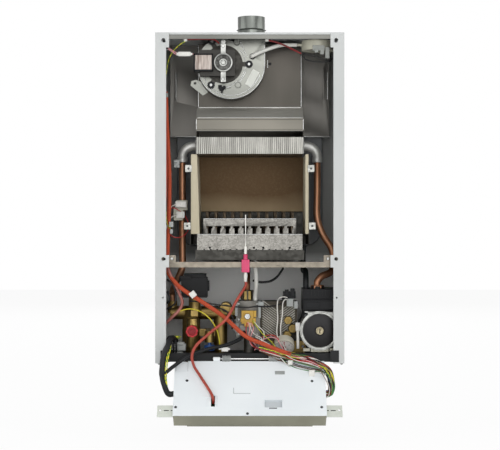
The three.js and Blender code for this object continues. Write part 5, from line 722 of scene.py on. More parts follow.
# Equal plates round an arc, each pointing outwards: vanes, ticks and grips.
arc_tree, given = node_group("plates_round_an_arc", [
    ("Count", "Int"), ("Radius", "Float"), ("Start", "Float"), ("Sweep", "Float"),
    ("Size", "Vector"), ("Material", "Material")])
arc = node(arc_tree, "GeometryNodeCurveArc", {
    "Resolution": given["Count"], "Radius": given["Radius"], "Start Angle": given["Start"],
    "Sweep Angle": given["Sweep"]})
outward = node(arc_tree, "FunctionNodeAlignRotationToVector", {
    "Vector": node(arc_tree, "GeometryNodeInputPosition").outputs[0]}, axis="X")
plate = node(arc_tree, "GeometryNodeMeshCube", {"Size": given["Size"]})
ring = node(arc_tree, "GeometryNodeInstanceOnPoints", {
    "Points": arc.outputs["Curve"], "Instance": plate.outputs["Mesh"], "Rotation": outward.outputs[0]})
close_tree(arc_tree, ring.outputs[0], given["Material"])


def round_arc(name, centre, axis, count, radius, size, material, body="root_body", start=0,
              sweep=None):
    """Plates of (out, round, along) size about an axis; a full turn unless a sweep is given."""
    full = math.tau * (count - 1) / count
    piece = grow(name, [(0, 0, 0)], [], arc_tree, **{
        "Count": count, "Radius": radius / 1000, "Start": math.radians(start),
        "Sweep": full if sweep is None else math.radians(sweep),
        "Size": [s / 1000 for s in size], "Material": material})
    piece.data.transform(along_axis(at(*centre), axis))
    return settle(piece, body)


def moulded(name, dark, light, roughness, gloss=0.5):
    """Moulded plastic: an even colour with the fine grain of its mould."""
    return surface(name, 0, roughness, 45, dark, light, (0.9, 0.03), gloss)


black = moulded("black_glass_filled_nylon", "#0e0f10", "#17181a", 0.45, 0.16)
white_nylon = moulded("white_nylon", "#d5d4ce", "#e6e5df", 0.4)
clear_grey = moulded("milky_polypropylene", "#858a88", "#a3a7a4", 0.3)
smoky = moulded("smoky_polyamide", "#6d706c", "#858882", 0.35)
# Black discs on the case's flanges stand for the shade in their holes: painted shade.
for side, x in (("left", -181.2), ("right", 182.2)):
    turned(f"cover_hole_{side}", (x, -270.4, 681.5), FORWARD, [(0, 0), (2.6, 0), (3.4, 0.5), (0, 0.5)],
           black, sides=16)
    turned(f"low_cover_hole_{side}", (x * 0.994, -270.4, 220.9), FORWARD,
           [(0, 0), (2, 0), (2.6, 0.5), (0, 0.5)], black, sides=16)
for side, (inner, outer) in (("left", (-188.6, -170)), ("right", (170, 188.6))):
    moulding(f"tray_cheek_{side}", [
        ((inner, -271, 3), (outer, -268.4, 27.7)), ((inner + 2, -271.3, 6), (outer - 2, -268.4, 12))],
             tray_coat, edge=0.4)
screws("case_feet", [(-192.5, -262, -0.6), (194.5, -262, -0.6)], 3, turn=(math.pi, 0, 0), height=2.4)
moulding("rail_clip", [
    ((-140, -263, 682), (-133, -257, 687)), ((-138.5, -265, 683.5), (-134.5, -257, 686))], white_nylon)
moulding("side_clips", [
    ((-184, -222, 568), (-176, -208, 577)), ((-183, -225, 570), (-178, -208, 575)),
    ((-184, -226, 283), (-175, -212, 293)), ((-183, -229, 285), (-178, -212, 290)),
    ((-173, -232, 288), (-164, -222, 300)), ((-171, -234, 274), (-165, -224, 284))], clear_grey)

# ---------------------------------------------------------------- flue and fan housing
# The collar for the flue pipe, the folded fume hood, the liner behind it and the fan's volute,
# all of galvanised or bright steel sheet.
# Bright steel for the turned parts, and also for the thin lines of painted highlight along folded edges.
bright = surface("bright_steel_and_painted_highlights", 1, 0.22, 30, "#9c9d9c", "#c9cac8",
                 stretch=(1, 1, 8))


def rolled_sheet(name, dark, light, roughness, stretch=(1, 1, 0.15)):
    """Cold-rolled sheet: smooth, with long faint streaks in its colour that are a painted reflection of
    the room.
    """
    material, tree, shader, place = finish(name, 1, roughness)
    both = maths(tree, "MULTIPLY_ADD", mottle(tree, place, 26, stretch), 0.5, mottle(tree, place, 140))
    tree.links.new(between(tree, both, 0.55, 0.95, dark, light), shader.inputs["Base Color"])
    relief(tree, shader, mottle(tree, place, 60), 0.25)
    return material


spigot_sheet = rolled_sheet("drawn_flue_collar", "#414340", "#6d706c", 0.3, (2.5, 2.5, 0.1))
hood_sheet = rolled_sheet("fume_hood_sheet", "#33322e", "#45423e", 0.38)
# The hood's foot and the fold above it are lighter copies of its sheet: painted reflection.
skirt_reflection_paint = rolled_sheet("hood_foot_painted_reflection", "#4c4a45", "#625f58", 0.32, (0.1, 1, 1))
strip_reflection_paint = rolled_sheet("hood_fold_painted_reflection", "#c9c7c0", "#e2dfd8", 0.6, (0.1, 1, 1))
volute_sheet = rolled_sheet("volute_sheet", "#5d5e5a", "#80817b", 0.34, (0.3, 1, 1))
liner_sheet = rolled_sheet("liner_sheet", "#787671", "#918e89", 0.6)
rail_sheet = rolled_sheet("rail_sheet", "#53534f", "#696965", 0.4, (0.1, 1, 1))
dressed("top_panel", case_coat, other=[(rail_sheet, (-197, -268.2, 685), (197, -256, 698.6))])
dressed("flue_spigot", spigot_sheet)
dressed("fume_hood", hood_sheet, bevel=0.5,
        other=[(skirt_reflection_paint, (-117, -225, 482), (117, -165, 524)),
               (strip_reflection_paint, (-117, -225, 523), (117, -150, 551))])
dressed("rear_baffle", liner_sheet)
dressed("fan_scroll", volute_sheet)
# Thin bright lines along the hood's folds and the liner's edges and ribs are painted highlights.
lines("hood_edge_highlights", [
    [(-112.6, -166, 552), (-112.6, -166, 620), (-112.6, -166, 688)],
    [(112.6, -166, 552), (112.6, -166, 620), (112.6, -166, 688)],
    [(-113, -222.4, 523), (0, -222.4, 523), (113, -222.4, 523)],
    [(-114, -222.6, 495.2), (0, -222.6, 495.2), (114, -222.6, 495.2)],
    [(-115, -222.6, 496), (-115, -222.6, 509), (-115, -222.6, 522)],
    [(115, -222.6, 496), (115, -222.6, 509), (115, -222.6, 522)],
    [(-112, -166.2, 550.4), (0, -166.2, 550.4), (112, -166.2, 550.4)]], 0.9, bright)
lines("liner_edge_highlights", [
    [(-179, -84.4, 491.6), (-150, -84.4, 491.6), (-117, -84.4, 491.6)],
    [(117, -84.4, 491.6), (150, -84.4, 491.6), (179, -84.4, 491.6)]], 0.7, bright)
lines("liner_rib_highlights", [
    [(-166, -85, 575), (-166, -85, 610), (-166, -85, 636)],
    [(175, -85, 575), (175, -85, 610), (175, -85, 636)],
    [(38.9, -166, 636.9), (38.9, -166, 654.4)]], 0.9, bright)
# A black disc stands for the shade in the hood's hole.
turned("hood_hole", (44.4, -165.2, 645.7), FORWARD, [(0, 0), (2.4, 0), (3.2, 0.7), (0, 0.7)],
       black, sides=18)

# The volute's pressed forms: its rolled rim, a ring round the motor and creases, drawn as thin
# bright lines of painted highlight, and two bosses.
FAN_X, FAN_Z = -56.5, 639
VOLUTE_FACE = -215.4


def on_volute(degrees, out):
    """A point just in front of the volute, at an angle and a distance from the fan's axis."""
    return (FAN_X + out * math.cos(math.radians(degrees)), VOLUTE_FACE - 0.4,
            FAN_Z + out * math.sin(math.radians(degrees)))


def volute_reach(degrees):
    """How far the volute's wall is from the fan's axis: it widens over the last half turn."""
    part = min(1, max(0, (degrees - 180) / 180))
    return 57 + 33 * part * part * (3 - 2 * part)


lines("volute_rim_highlight", [
    [on_volute(a, volute_reach(a) - 1.5) for a in range(200, 361, 8)]
    + [(31.8, VOLUTE_FACE - 0.4, 655), (31.8, VOLUTE_FACE - 0.4, 686)],
    [on_volute(a, volute_reach(a) - 8) for a in range(232, 352, 8)]], 0.9, bright)
lines("volute_crease_highlights", [
    [on_volute(a, 47) for a in range(-72, 44, 8)],
    [on_volute(a, 33) for a in range(-60, 60, 8)],
    [(-20, VOLUTE_FACE, 688), (-13, VOLUTE_FACE, 670), (-6, VOLUTE_FACE, 655)],
    [(-8, VOLUTE_FACE, 625), (-14, VOLUTE_FACE, 612), (-22, VOLUTE_FACE, 600)],
    [(-100, VOLUTE_FACE, 616), (-92, VOLUTE_FACE, 596), (-84, VOLUTE_FACE, 582)]], 0.8, bright)
for number, (x, z) in enumerate(((-25.3, 594.2), (-27.5, 686))):
    turned(f"volute_boss_{number}", (x, VOLUTE_FACE, z), FORWARD,
           [(6.2, -0.2), (7.6, 0.6), (7.0, 1.2), (5.6, 1.0), (5.2, 0.2), (0, 0.2)],
           volute_sheet, sides=6)
GROMMETS = [(-1.6, 639), (-83.3, 594), (-81.2, 688)]
for number, (x, z) in enumerate(GROMMETS):
    turned(f"fan_grommet_{number}", (x, VOLUTE_FACE - 1.2, z), FORWARD,
           [(0, -0.5), (7.6, -0.5), (8, 1), (7.4, 2.6), (5.6, 2.8), (5.2, 1.6), (0, 1.6)],
           black_rubber)
screws("fan_grommet_screws", [(x, VOLUTE_FACE - 2.6, z) for x, z in GROMMETS], 3.9, height=2.4)
label_stock = moulded("bare_grey_label", "#cdcfc7", "#dadcd4", 0.4)
moulding("bare_fan_label", [
    ((-13, VOLUTE_FACE - 0.7, 600.5), (24, VOLUTE_FACE - 0.1, 616.5)),
    ((-11, VOLUTE_FACE - 0.9, 602.5), (22, VOLUTE_FACE - 0.1, 614.5))],
         label_stock, edge=0.2, turn=((5.2, VOLUTE_FACE, 608.5), "Y", -62))
moulding("fan_cable_clip", [
    ((-66, -224, 582), (-56, -215, 590)), ((-68, -221, 586), (-60, -215, 594)),
    ((-58, -226, 585), (-52, -217, 592)), ((-62, -228, 577), (-58, -218, 584))], black, edge=0.8)
lines("fan_cable_clip_pin", [[(-50, -220, 589), (-46, -220, 589.5), (-41, -220, 590)]], 1.6, bright)

# ---------------------------------------------------------------- fan motor
# The motor on the volute: a laminated core with a wound coil on its left leg, a die-cast
# bracket across its bearing, and the cooling wheel that turns with the shaft.
cast = surface("die_cast_aluminium", 1, 0.38, 8, "#777875", "#aaaba7", (1.5, 0.1))


def layers(tree, place, axis, pitch):
    """A wave over sheets or turns of wire, so many metres apart along an axis."""
    return maths(tree, "SINE",
                 maths(tree, "MULTIPLY", side_of(tree, place, axis), math.tau / pitch))


laminated, tree, shader, place = finish("laminated_core_steel", 0.8, 0.55)
stack = layers(tree, place, 1, 0.001)
tree.links.new(between(tree, stack, -1, 1, "#2a2927", "#454441"), shader.inputs["Base Color"])
relief(tree, shader, stack, 0.15)
wound, tree, shader, place = finish("enamelled_winding", 0.3, 0.45)
varnish = mottle(tree, place, 7, (3, 1, 0.3))
tree.links.new(between(tree, varnish, *SHARP, "#a38d80", "#fbf0e7"), shader.inputs["Base Color"])
relief(tree, shader, layers(tree, place, 2, 0.0012), 0.25)
dressed("fan_motor_core", laminated, other=[(dark_zinc, (-110, -217.2, 580), (10, -215, 700))])
dressed("fan_coil", wound, bevel=1.5)
moulding("coil_bobbin", [
    ((-119.4, -252, 620.5), (-116.6, -218, 657.5)), ((-81, -252, 620.5), (-78.4, -218, 657.5)),
    ((-119.4, -252, 654.6), (-78.4, -222, 657.5)), ((-119.4, -252, 620.5), (-78.4, -222, 623.4))],
         black, edge=0.4)
dressed("fan_bearing_bracket", cast, bevel=0.6)
screws("bracket_screws", [(-57, -244.5, 674), (-57, -244.5, 604)], 3.4)
turned("bearing_arm_ends", (-56.5, -244.2, 684), FORWARD,
       [(5, -3), (5.4, 0.5), (4.6, 1.2), (2.2, 1.2), (2, -1), (0, -1)], cast)
dull_cast = surface("dull_die_casting", 1, 0.5, 6, "#3a3a38", "#666663", tones=SHARP)
dressed("fan_cooling_wheel", dull_cast, body="fan_rotor_body", bevel=0.2)
turned("wheel_hub", (FAN_X, -249.2, FAN_Z), FORWARD,
       [(0, -3), (8.5, -3), (8.5, 0.6), (7.4, 1.3), (6.2, 1.3), (5.6, 0.4), (4.6, 0.4), (4.2, 1.2),
        (2.6, 1.4), (2.2, 0.6), (0, 0.6)], cast, body="fan_rotor_body")
turned("wheel_rim", (FAN_X, -248.4, FAN_Z), FORWARD,
       [(16.2, -2), (19.6, -2), (20.2, 0), (19.4, 1.6), (17.4, 2), (16.4, 1)], cast,
       body="fan_rotor_body", sides=40)
round_arc("wheel_bosses", (FAN_X, -249.4, FAN_Z), FORWARD, 10, 12.6, (5, 3.4, 2.4), dull_cast,
          body="fan_rotor_body")
moulding("motor_terminals", [
    ((-45, -226, 616), (-38, -217, 620)), ((-38, -224, 613), (-32, -217, 616))],
         moulded("amber_terminal_resin", "#8b6f24", "#b0913a", 0.4), edge=0.5)
moulding("supply_connector", [
    ((-152, -254, 652), (-126, -246, 661)), ((-147, -256, 654), (-132, -246, 659)),
    ((-126, -252, 654), (-122, -248, 659)), ((-156, -252, 653.5), (-151, -248, 659.5))], white_nylon)
dressed("fan_impeller", zinc, body="fan_rotor_body", bevel=0)

# ---------------------------------------------------------------- air pressure switch
# A round membrane switch in beige ABS, lying flat under the top on its bracket, with a white
# silicone hose from the volute on its nipple and two wires on its terminals.
beige = moulded("beige_grey_abs", "#a9a797", "#bcbaa9", 0.45)
dressed("air_pressure_switch", beige, bevel=0.8, other=[(smoky, (100, -250, 640), (200, -170, 667))])
moulding("switch_terminals", [
    ((134, -246, 664), (160, -238, 676)), ((138, -249, 660), (146, -240, 668)),
    ((150, -249, 656), (158, -240, 668)), ((161, -246, 648), (170, -238, 672))], smoky)
white_silicone = rubber("white_silicone", "#cfcfc9", "#e2e1da", 0.4)
hose("pressure_hose_tube", "pressure_hose", [
    (6, -219.4, 656), (6, -227, 656), (36, -228, 669), (66, -220, 679), (88, -212.5, 681),
    (101.5, -212, 681)], 4, white_silicone, sides=20)
turned("hose_nipple", (6, VOLUTE_FACE, 656), FORWARD,
       [(0, -1), (6.5, -1), (6.5, 1.2), (4.6, 1.8), (4.4, 4.4), (0, 4.4)], black)
moulding("switch_wire_connector", [
    ((33, -248, 684), (40, -242, 690)), ((34.5, -250, 685.5), (38.5, -242, 688.5))], white_nylon)

# ---------------------------------------------------------------- heat exchanger
# A copper exchanger dipped in a silvery coat: a pack of sheet fins, slightly leaning, in its
# case, with a swept elbow out of each side.
dipped = surface("silvery_dipped_copper", 0.6, 0.5, 14, "#a3a39e", "#dededa", (2.5, 0.15))
# Sheet fins: the photo shows about 52 bright edges, each a pair of fins. The gaps are dark.
fin_edge = surface("dipped_fin_edges", 1, 0.42, 9, "#7a7974", "#96958f", tones=SHARP,
                   stretch=(3, 1, 0.35))
FIN_PITCH, FIN_ROWS = 4.4, 52
plates("exchanger_fins", [(-FIN_PITCH * (FIN_ROWS - 1) / 2, -151, 463.8)], FIN_ROWS,
       (FIN_PITCH, 0, 0), (3.1, 138, 36), fin_edge, lean=(0, math.radians(1.6), 0),
       solid="heat_exchanger")
moulding("exchanger_core", [
    ((-114.4, -207, 446), (114.4, -82, 481.5)), ((-116.2, -220, 445.7), (-113.8, -82, 482)),
    ((113.8, -220, 445.7), (116.2, -82, 482))], zinc, edge=0.4, solid="heat_exchanger")
for name, side in (("left", -1), ("right", 1)):
    hose(f"exchanger_elbow_{name}", "heat_exchanger", [
        (side * 112, -160, 466), (side * 120, -160, 466), (side * 128, -160, 465.4),
        (side * 136, -160, 462.4), (side * 142.6, -160, 457), (side * 146.8, -160, 450),
        (side * 148, -160, 441), (side * 148, -160, 430)], 10, dipped, sides=24)
    turned(f"elbow_collar_{name}", (side * 148, -160, 436), UP,
           [(0, -6), (10.4, -6), (11.4, -4.6), (11.5, 4.6), (10.4, 6), (0, 6)], dipped)
    turned(f"elbow_weld_{name}", (side * 116.8, -160, 466), (side, 0, 0),
           [(0, -1.5), (12.6, -1.5), (12, 1), (10.6, 2.6), (0, 2.6)], dipped)

# ---------------------------------------------------------------- combustion chamber
# Folded galvanised sheet in a darker copy as painted shade, with four screwed tabs in a lighter
# copy as painted light, lined at its back and sides with boards of pressed ceramic fibre that the
# heat has browned; the back board is painted darker towards its top as shade.
# The chamber's tabs are a lighter copy of its sheet: painted light.
tab_zinc = galvanised("galvanised_tabs_painted_light", "#7f7f7b", "#9c9c97", 0.42, 4)
dressed("combustion_chamber", dark_zinc)
moulding("chamber_tabs", [((side * x - 7.2, -221, z - 7.5), (side * x + 7.2, -219.6, z + 7.5))
                          for side in (-1, 1) for x, z in ((131.8, 414.2), (134.4, 290.5))],
         tab_zinc, edge=0.3)


def fibre_board(name, low, high, foot, top, specks, rise):
    """Pressed ceramic fibre: matt and slightly felted. Its foot's colour turns to its top's
    between two heights, along a cloudy line that rises and falls."""
    material, tree, shader, place = finish(name, 0, 0.95)
    shifted = maths(tree, "MULTIPLY_ADD", mottle(tree, place, 70), rise, side_of(tree, place, 2))
    base = between(tree, shifted, low / 1000, high / 1000, foot, top)
    speck = mottle(tree, place, 2)
    strength = node(tree, "ShaderNodeMapRange", {0: speck, 1: 0.45, 2: 0.8, 3: 0, 4: 0.16})
    mixed = node(tree, "ShaderNodeMix", {0: strength.outputs[0], 6: base, 7: paint(specks)},
                 data_type="RGBA")
    tree.links.new(mixed.outputs[2], shader.inputs["Base Color"])
    relief(tree, shader, mottle(tree, place, 1.6), 0.35)
    return material


# The back board is browned by heat, and painted darker towards its top as shade under the exchanger.
browned_and_shaded_board = fibre_board("browned_fibre_board_painted_shade", -316, -266, "#a08d6f", "#614c34", "#8d7a5c", 0.05)
cream = fibre_board("cream_fibre_board", -380, -215, "#bfb69d", "#c9c0a8", "#b0a58a", 0.02)
screws("chamber_tab_screws", [
    (-131.8, -221.2, 414.2), (131.8, -221.2, 414.2), (-134.4, -221.2, 290.5), (134.4, -221.2, 290.5)],
       2.4, material=black_zinc)
moulding("pipe_clip_block", [
    ((-165, -182, 418), (-153, -168, 435)), ((-163, -185, 421), (-156, -170, 427)),
    ((-163, -185, 429), (-156, -170, 433))], clear_grey)
dressed("insulation_back", browned_and_shaded_board, bevel=1)
dressed("insulation_left", cream, bevel=1)
dressed("insulation_right", cream, bevel=1)

# ---------------------------------------------------------------- burner
# The ramps in fine-spangled sheet, darker on top and painted dark behind their windows as shade,
# on their tray, with the gas manifold, and the electrode: a glazed porcelain rod with a pink
# silicone cap.
# Darker on the ramps' tops, and painted shade on what shows behind the windows.
ramp_darkening = surface("burner_ramps_darker_top_and_painted_shade", 0.8, 0.55, 5, "#2c241b", "#5d5142", tones=SHARP)
dressed("burner", spangled, bevel=0, join=False, other=[
    (ramp_darkening, (-120, -230, 306.9), (120, -90, 330)), (ramp_darkening, (-120, -216.8, 240), (120, -90, 307))])
dressed("burner_tray", dark_zinc)
# Two thin bright lines along the burner's front edges are painted highlights.
lines("burner_edge_highlights", [
    [(-99, -219.8, 306), (0, -219.8, 306), (99, -219.8, 306)],
    [(-113, -219.9, 272.6), (0, -219.9, 272.6), (113, -219.9, 272.6)]], 0.8, bright)
# Black plates in the burner's support notches stand for their shade.
plates("support_notches", [(-98, -219.6, 240.1)], 15, (14, 0, 0), (3.4, 0.5, 2), black)
screws("crossbar_screws", [(-165.8, -244.2, 221), (166.6, -244.2, 221)], 3.4)
dressed("gas_manifold", cast)
glazed = surface("glazed_porcelain", 0, 0.18, 12, "#e9e7df", "#f3f2ec")
dressed("ignition_electrode", glazed, bevel=0.2)
pink = rubber("pink_silicone_cap", "#c02f5c", "#d64872", 0.45)
dressed("electrode_cap", pink, bevel=1.2, other=[(white_nylon, (-20, -260, 170), (0, -240, 191))])
turned("electrode_sleeve", (-9, -249.8, 181), DOWN,
       [(0, -9), (3.9, -9), (4.1, -2), (3.4, 2), (3.4, 8), (2.9, 9), (0, 9)], white_nylon)

# ---------------------------------------------------------------- pipes
# Bent copper tubes, dull with age, a black rubber hose to the expansion vessel, a white silicone
# one up from the gas valve, and the thermostat on the flow pipe.
copper = surface("dull_copper_pipe", 0.85, 0.5, 40, "#7c5137", "#b8896b", (5, 0.06),
                 tones=(0.32, 0.68), stretch=(1, 1, 0.4))
for name, radius, material, route in (
        ("flow_pipe", 7.5, copper, [
            (-148, -160, 429.7), (-148, -160, 340), (-148, -160, 240), (-148, -160, 204),
            (-152, -158, 188), (-166, -144, 160), (-172, -122, 142), (-172, -122, 124.3)]),
        ("return_pipe", 7.5, copper, [
            (148, -160, 429.7), (148, -160, 370), (148, -160, 310), (160, -166, 272),
            (178, -180, 242), (181, -186, 222), (181, -186, 204), (175, -194, 190),
            (156, -204, 182), (146, -208, 170), (146, -208, 161.3)]),
        ("gas_pipe", 6, copper, [
            (-4.9, -160, 150.3), (-4.9, -160, 164), (-4.9, -138, 180), (-4.9, -112, 185),
            (-4.9, -92, 199), (-4.9, -92, 217.5), (-4.9, -92, 261.7)]),
        ("vessel_hose", 6, black_rubber, [
            (122, -190, 155.3), (122, -190, 164.3), (122, -186, 178), (122, -165, 192),
            (122, -100, 190), (122, -48, 190), (122, -34, 204), (122, -34, 230.7)]),
        ("reference_hose", 4.5, white_silicone, [
            (12, -188, 128.3), (12, -188, 140), (14, -200, 168), (12, -204, 204), (12, -204, 217.2)])):
    hose(f"{name}_tube", name, route, radius, material, sides=24)
dressed("flow_thermostat", beige)
moulding("thermostat_connectors", [
    ((-162, -190, 331), (-138, -181, 344)), ((-160, -194, 333), (-150, -183, 341)),
    ((-160, -188, 308), (-142, -181, 322)), ((-157, -192, 310), (-146, -183, 319))], white_nylon)
lines("thermostat_wires", [
    [(-160, -192, 337), (-168, -198, 334), (-174, -206, 324), (-177, -216, 312)],
    [(-158, -190, 315), (-166, -198, 312), (-172, -208, 306), (-177, -218, 300)]], 1.1, pvc["white"])
for side, x, y in (("left", -148, -160), ("right", 181, -186)):
    turned(f"shelf_grommet_{side}", (x, y, 205), UP,
           [(7.6, -2.6), (13.5, -2.2), (14.5, 0.4), (13, 4), (9, 6.5), (7.6, 6.5)],
           black_rubber)
vessel_coat = coated_steel("grey_vessel_paint", "#5f6162", "#707273", 0.5)
dressed("expansion_vessel", vessel_coat, bevel=3)

# ---------------------------------------------------------------- hydraulic groups
# Forged brass groups with their caps and nuts, the die-cast gas valve, the stainless plate
# exchanger and the pump, with nylon knobs and a yellow resin coil.
brass = surface("rough_forged_brass", 1, 0.42, 22, "#6b5a34", "#a38c58", (1.4, 0.18))
# A darker copy of the die casting, for the gas valve.
darker_cast = surface("darker_die_casting", 1, 0.5, 16, "#484743", "#777570", (1.6, 0.12),
                    tones=SHARP)
red = moulded("red_nylon", "#a5121b", "#c01e27", 0.4, 0.35)
dark_red = moulded("worn_dark_red_nylon", "#730d13", "#8d161d", 0.45, 0.3)
blue = moulded("blue_nylon", "#23498a", "#2f62ab", 0.35)
yellow = moulded("yellow_coil_resin", "#b38a1a", "#d0a632", 0.4)
steel_plate = surface("pressed_stainless_steel", 1, 0.3, 18, "#5d5c56", "#8b8981")
dark_plate = surface("brazed_plate_gaps", 0.8, 0.5, 12, "#2f2c26", "#4c473d")
for name, material in (
        ("flow_block", brass), ("return_block", brass), ("safety_valve_body", brass),
        ("diverter_motor", black), ("gas_valve", darker_cast), ("gas_valve_coil", yellow),
        ("plate_exchanger", dark_plate), ("pump_housing", black), ("pump_motor", cast),
        ("pump_terminal_box", black), ("hinge_rod", bright)):
    dressed(name, material)
dressed("safety_valve_knob", red, body="safety_knob_body")
dressed("filling_knob", blue, body="filling_knob_body")
dressed("pump_rotor", bright, body="pump_rotor_body")
dressed("gauge_needle", red, body="gauge_needle_body", bevel=0)
dressed("diverter_spindle", bright, body="diverter_body")
moulding("diverter_ribs", [
    ((-150, -214.5, 176), (-126, -212, 183)), ((-120, -214.5, 140), (-96, -212, 147)),
    ((-93, -206, 150), (-88, -176, 172)), ((-152, -206, 170), (-147, -180, 182))], black)
moulding("bare_loom_tag", [
    ((-127, -262, 139), (-114, -261, 152)), ((-126, -262.4, 140), (-115, -260.6, 151)),
    ((-127, -261.6, 143), (-114, -252, 149))],
         white_nylon, edge=0.3, turn=((-120.6, -260, 145), "Y", -38))
turned("safety_valve_nut", (-124, -210, 65), FORWARD,
       [(0, -6), (12, -6), (13.6, -4), (13.6, 4), (12.6, 6), (0, 6)], brass, sides=6)
turned("valve_top_nut", (-120, -186, 101), UP,
       [(0, -8), (13.5, -8), (15, -6), (15, 6), (13.5, 8), (0, 8)], brass, sides=6)
turned("flow_arm_cap", (-52, -186, 112), FORWARD,
       [(0, -18), (12, -18), (14, -14), (14, 12), (12.4, 15), (9, 15), (8, 13), (0, 13)], brass)
turned("gas_union_nut", (-4.9, -160, 139), UP,
       [(0, -11), (12.5, -11), (14.5, -9), (14.5, 9), (12.5, 11), (0, 11)], brass, sides=6)
turned("gas_coil_screw", (-5, -221.4, 96), FORWARD,
       [(0, -1), (6.8, -1), (7, 0.8), (6, 1.8), (2.4, 1.8), (2, 0.8), (0, 0.8)], plated, sides=6)
moulding("gas_coil_lugs", [
    ((-20, -219, 84), (-14, -204, 92)), ((6, -219, 82), (13, -204, 92)), ((8, -219, 94), (14, -208, 108)),
    ((-12, -222, 74), (8, -206, 82))], yellow, edge=0.8)
screws("gas_valve_screws", [
    (-24, -200.4, 122), (16, -200.4, 122), (-24, -200.4, 56), (16, -200.4, 56), (-24, -200.4, 88)], 2.8)
moulding("gas_valve_levers", [
    ((18, -214, 92), (24, -196, 128)), ((20, -216, 118), (30, -200, 127)),
    ((-32, -212, 96), (-26, -196, 126)), ((-34, -206, 62), (-24, -196, 80))], clear_grey, edge=0.8)
for number, (x, z) in enumerate(((84, 84), (94, 66), (82, 52))):
    turned(f"return_fitting_{number}", (x, -158.5, z), FORWARD,
           [(0, -2), (9, -2), (10, 2), (10, 12), (8.6, 14), (5, 14), (4.6, 11), (0, 11)], brass,
           sides=6 if number != 1 else 24)

# Pressed chevrons on the exchanger's front plate, 5.4 mm apart: two leaning bars to each.
for name, side in (("left", -1), ("right", 1)):
    plates(f"exchanger_chevrons_{name}", [(63.5 + side * 19, -158.4, 50)], 13, (0, 0, 5.4),
           (41, 2, 1.7), steel_plate, lean=(0, side * math.radians(-36), 0))
moulding("water_flow_sensor", [
    ((72, -212, 134), (99, -186, 149)), ((76, -216, 140), (84, -192, 153)),
    ((88, -216, 138), (97, -192, 155)), ((70, -204, 128), (76, -190, 140))], black, edge=0.8)
moulding("sensor_connectors", [
    ((80, -210, 117), (94, -196, 134)), ((83, -213, 121), (91, -198, 130)),
    ((96, -206, 112), (104, -192, 128))], clear_grey)
moulding("filling_lever", [
    ((100, -236, 28), (106, -228, 78)), ((98, -238, 66), (108, -228, 84)),
    ((101, -240, 30), (105, -226, 60))], white_nylon, edge=1.2)
moulding("tray_connectors", [
    ((-66, -256, 28), (-52, -246, 37)), ((-60, -258, 24), (-46, -248, 33)),
    ((-50, -254, 27), (-42, -247, 31))], white_nylon)
moulding("left_valve_cap", [
    ((-160, -218, 22), (-138, -200, 37)), ((-157, -221, 34), (-141, -204, 41))], clear_grey, edge=1.5)
turned("left_drain_cap", (-152.5, -236, 14), DOWN,
       [(0, -7), (9, -7), (12, -4), (12, 2), (9, 6), (6.5, 9), (6.5, 22), (4, 24), (0, 24)], clear_grey)
turned("left_drain_tip", (-152.5, -236, -12), DOWN, [(0, -4), (4.4, -4), (4.2, 2), (3, 5), (0, 5)], black)
round_arc("safety_knob_grips", (-124, -227, 65), FORWARD, 20, 12.7, (0.9, 1.4, 14), red,
          body="safety_knob_body")
turned("safety_knob_face", (-124, -235.2, 65), FORWARD,
       [(0, -0.4), (9.6, -0.4), (9.2, 0.5), (7.4, 0.8), (7, 0.2), (4, 0.2), (3.4, 0.8), (0, 0.8)],
       dark_red, body="safety_knob_body")
round_arc("filling_knob_grips", (-88, -178, 25), UP, 18, 10.8, (0.9, 1.5, 11), blue,
          body="filling_knob_body")

# The pump's can: a dark blank disc in a silver ring with the vent screw in its middle.
PUMP_X, PUMP_Z, PUMP_FACE = 149, 67.5, -247.6
disc_stock = moulded("bare_dark_disc", "#1a191a", "#222122", 0.4, 0.2)
turned("pump_bare_disc", (PUMP_X, PUMP_FACE, PUMP_Z), FORWARD,
       [(0, -0.6), (35.4, -0.6), (35.4, 0.8), (34.8, 1.1), (10.5, 1.1), (10, 0.4), (0, 0.4)],
       disc_stock, sides=64)
turned("pump_silver_ring", (PUMP_X, -249.6, PUMP_Z), FORWARD,
       [(36, -1.6), (36, 0.4), (37, 1.2), (39.5, 1.2), (40.4, 0.4), (40.4, -1.6)], cast, sides=64)
vent_brass = surface("dulled_vent_brass", 1, 0.5, 3, "#6f6752", "#a89f86", tones=SHARP)
VENT_FACE = -252.2
turned("pump_vent_screw", (PUMP_X, VENT_FACE, PUMP_Z), FORWARD,
       [(0, -4.5), (8.4, -4.5), (8.6, -0.6), (7.8, 0.4), (6.2, 0.4), (5.8, 0), (0, 0)],
       vent_brass, sides=32)
# A black block in the screw's slot stands for its shade.
moulding("vent_screw_slot", [
    ((PUMP_X - 0.9, VENT_FACE - 0.3, PUMP_Z - 5), (PUMP_X + 0.9, VENT_FACE + 0.3, PUMP_Z + 5))],
         black, edge=0.1)
turned("return_union_nut", (146, -208, 158), UP,
       [(0, -3), (13, -3), (14.6, -1.6), (14.6, 4), (12, 5.4), (0, 5.4)], copper, sides=6)
plates("pump_head_ribs", [(118, -232.6, 147)], 9, (7.6, 0, 0), (2, 1.6, 12), black)
moulding("terminal_box_lid", [
    ((116, -246.6, 113), (182, -244, 131)), ((120, -247.2, 116), (150, -244, 128))], black, edge=0.8)
moulding("pump_foot_trim", [
    ((114, -248, 23.5), (128, -240, 30)), ((170, -248, 23.5), (184, -240, 30)),
    ((130, -246, 22), (168, -238, 29))], beige)
moulding("pump_top_flange", [
    ((123, -246.8, 92), (187, -240, 109.2)), ((116.5, -246.8, 105), (187, -240, 109.2))], cast, edge=1.5)
screws("pump_screws", [
    (118.8, -242, 99.6), (184.6, -247, 102), (113.4, -241, 33.4), (184.6, -241, 33.4)],
       3.4, height=3, material=black_zinc)

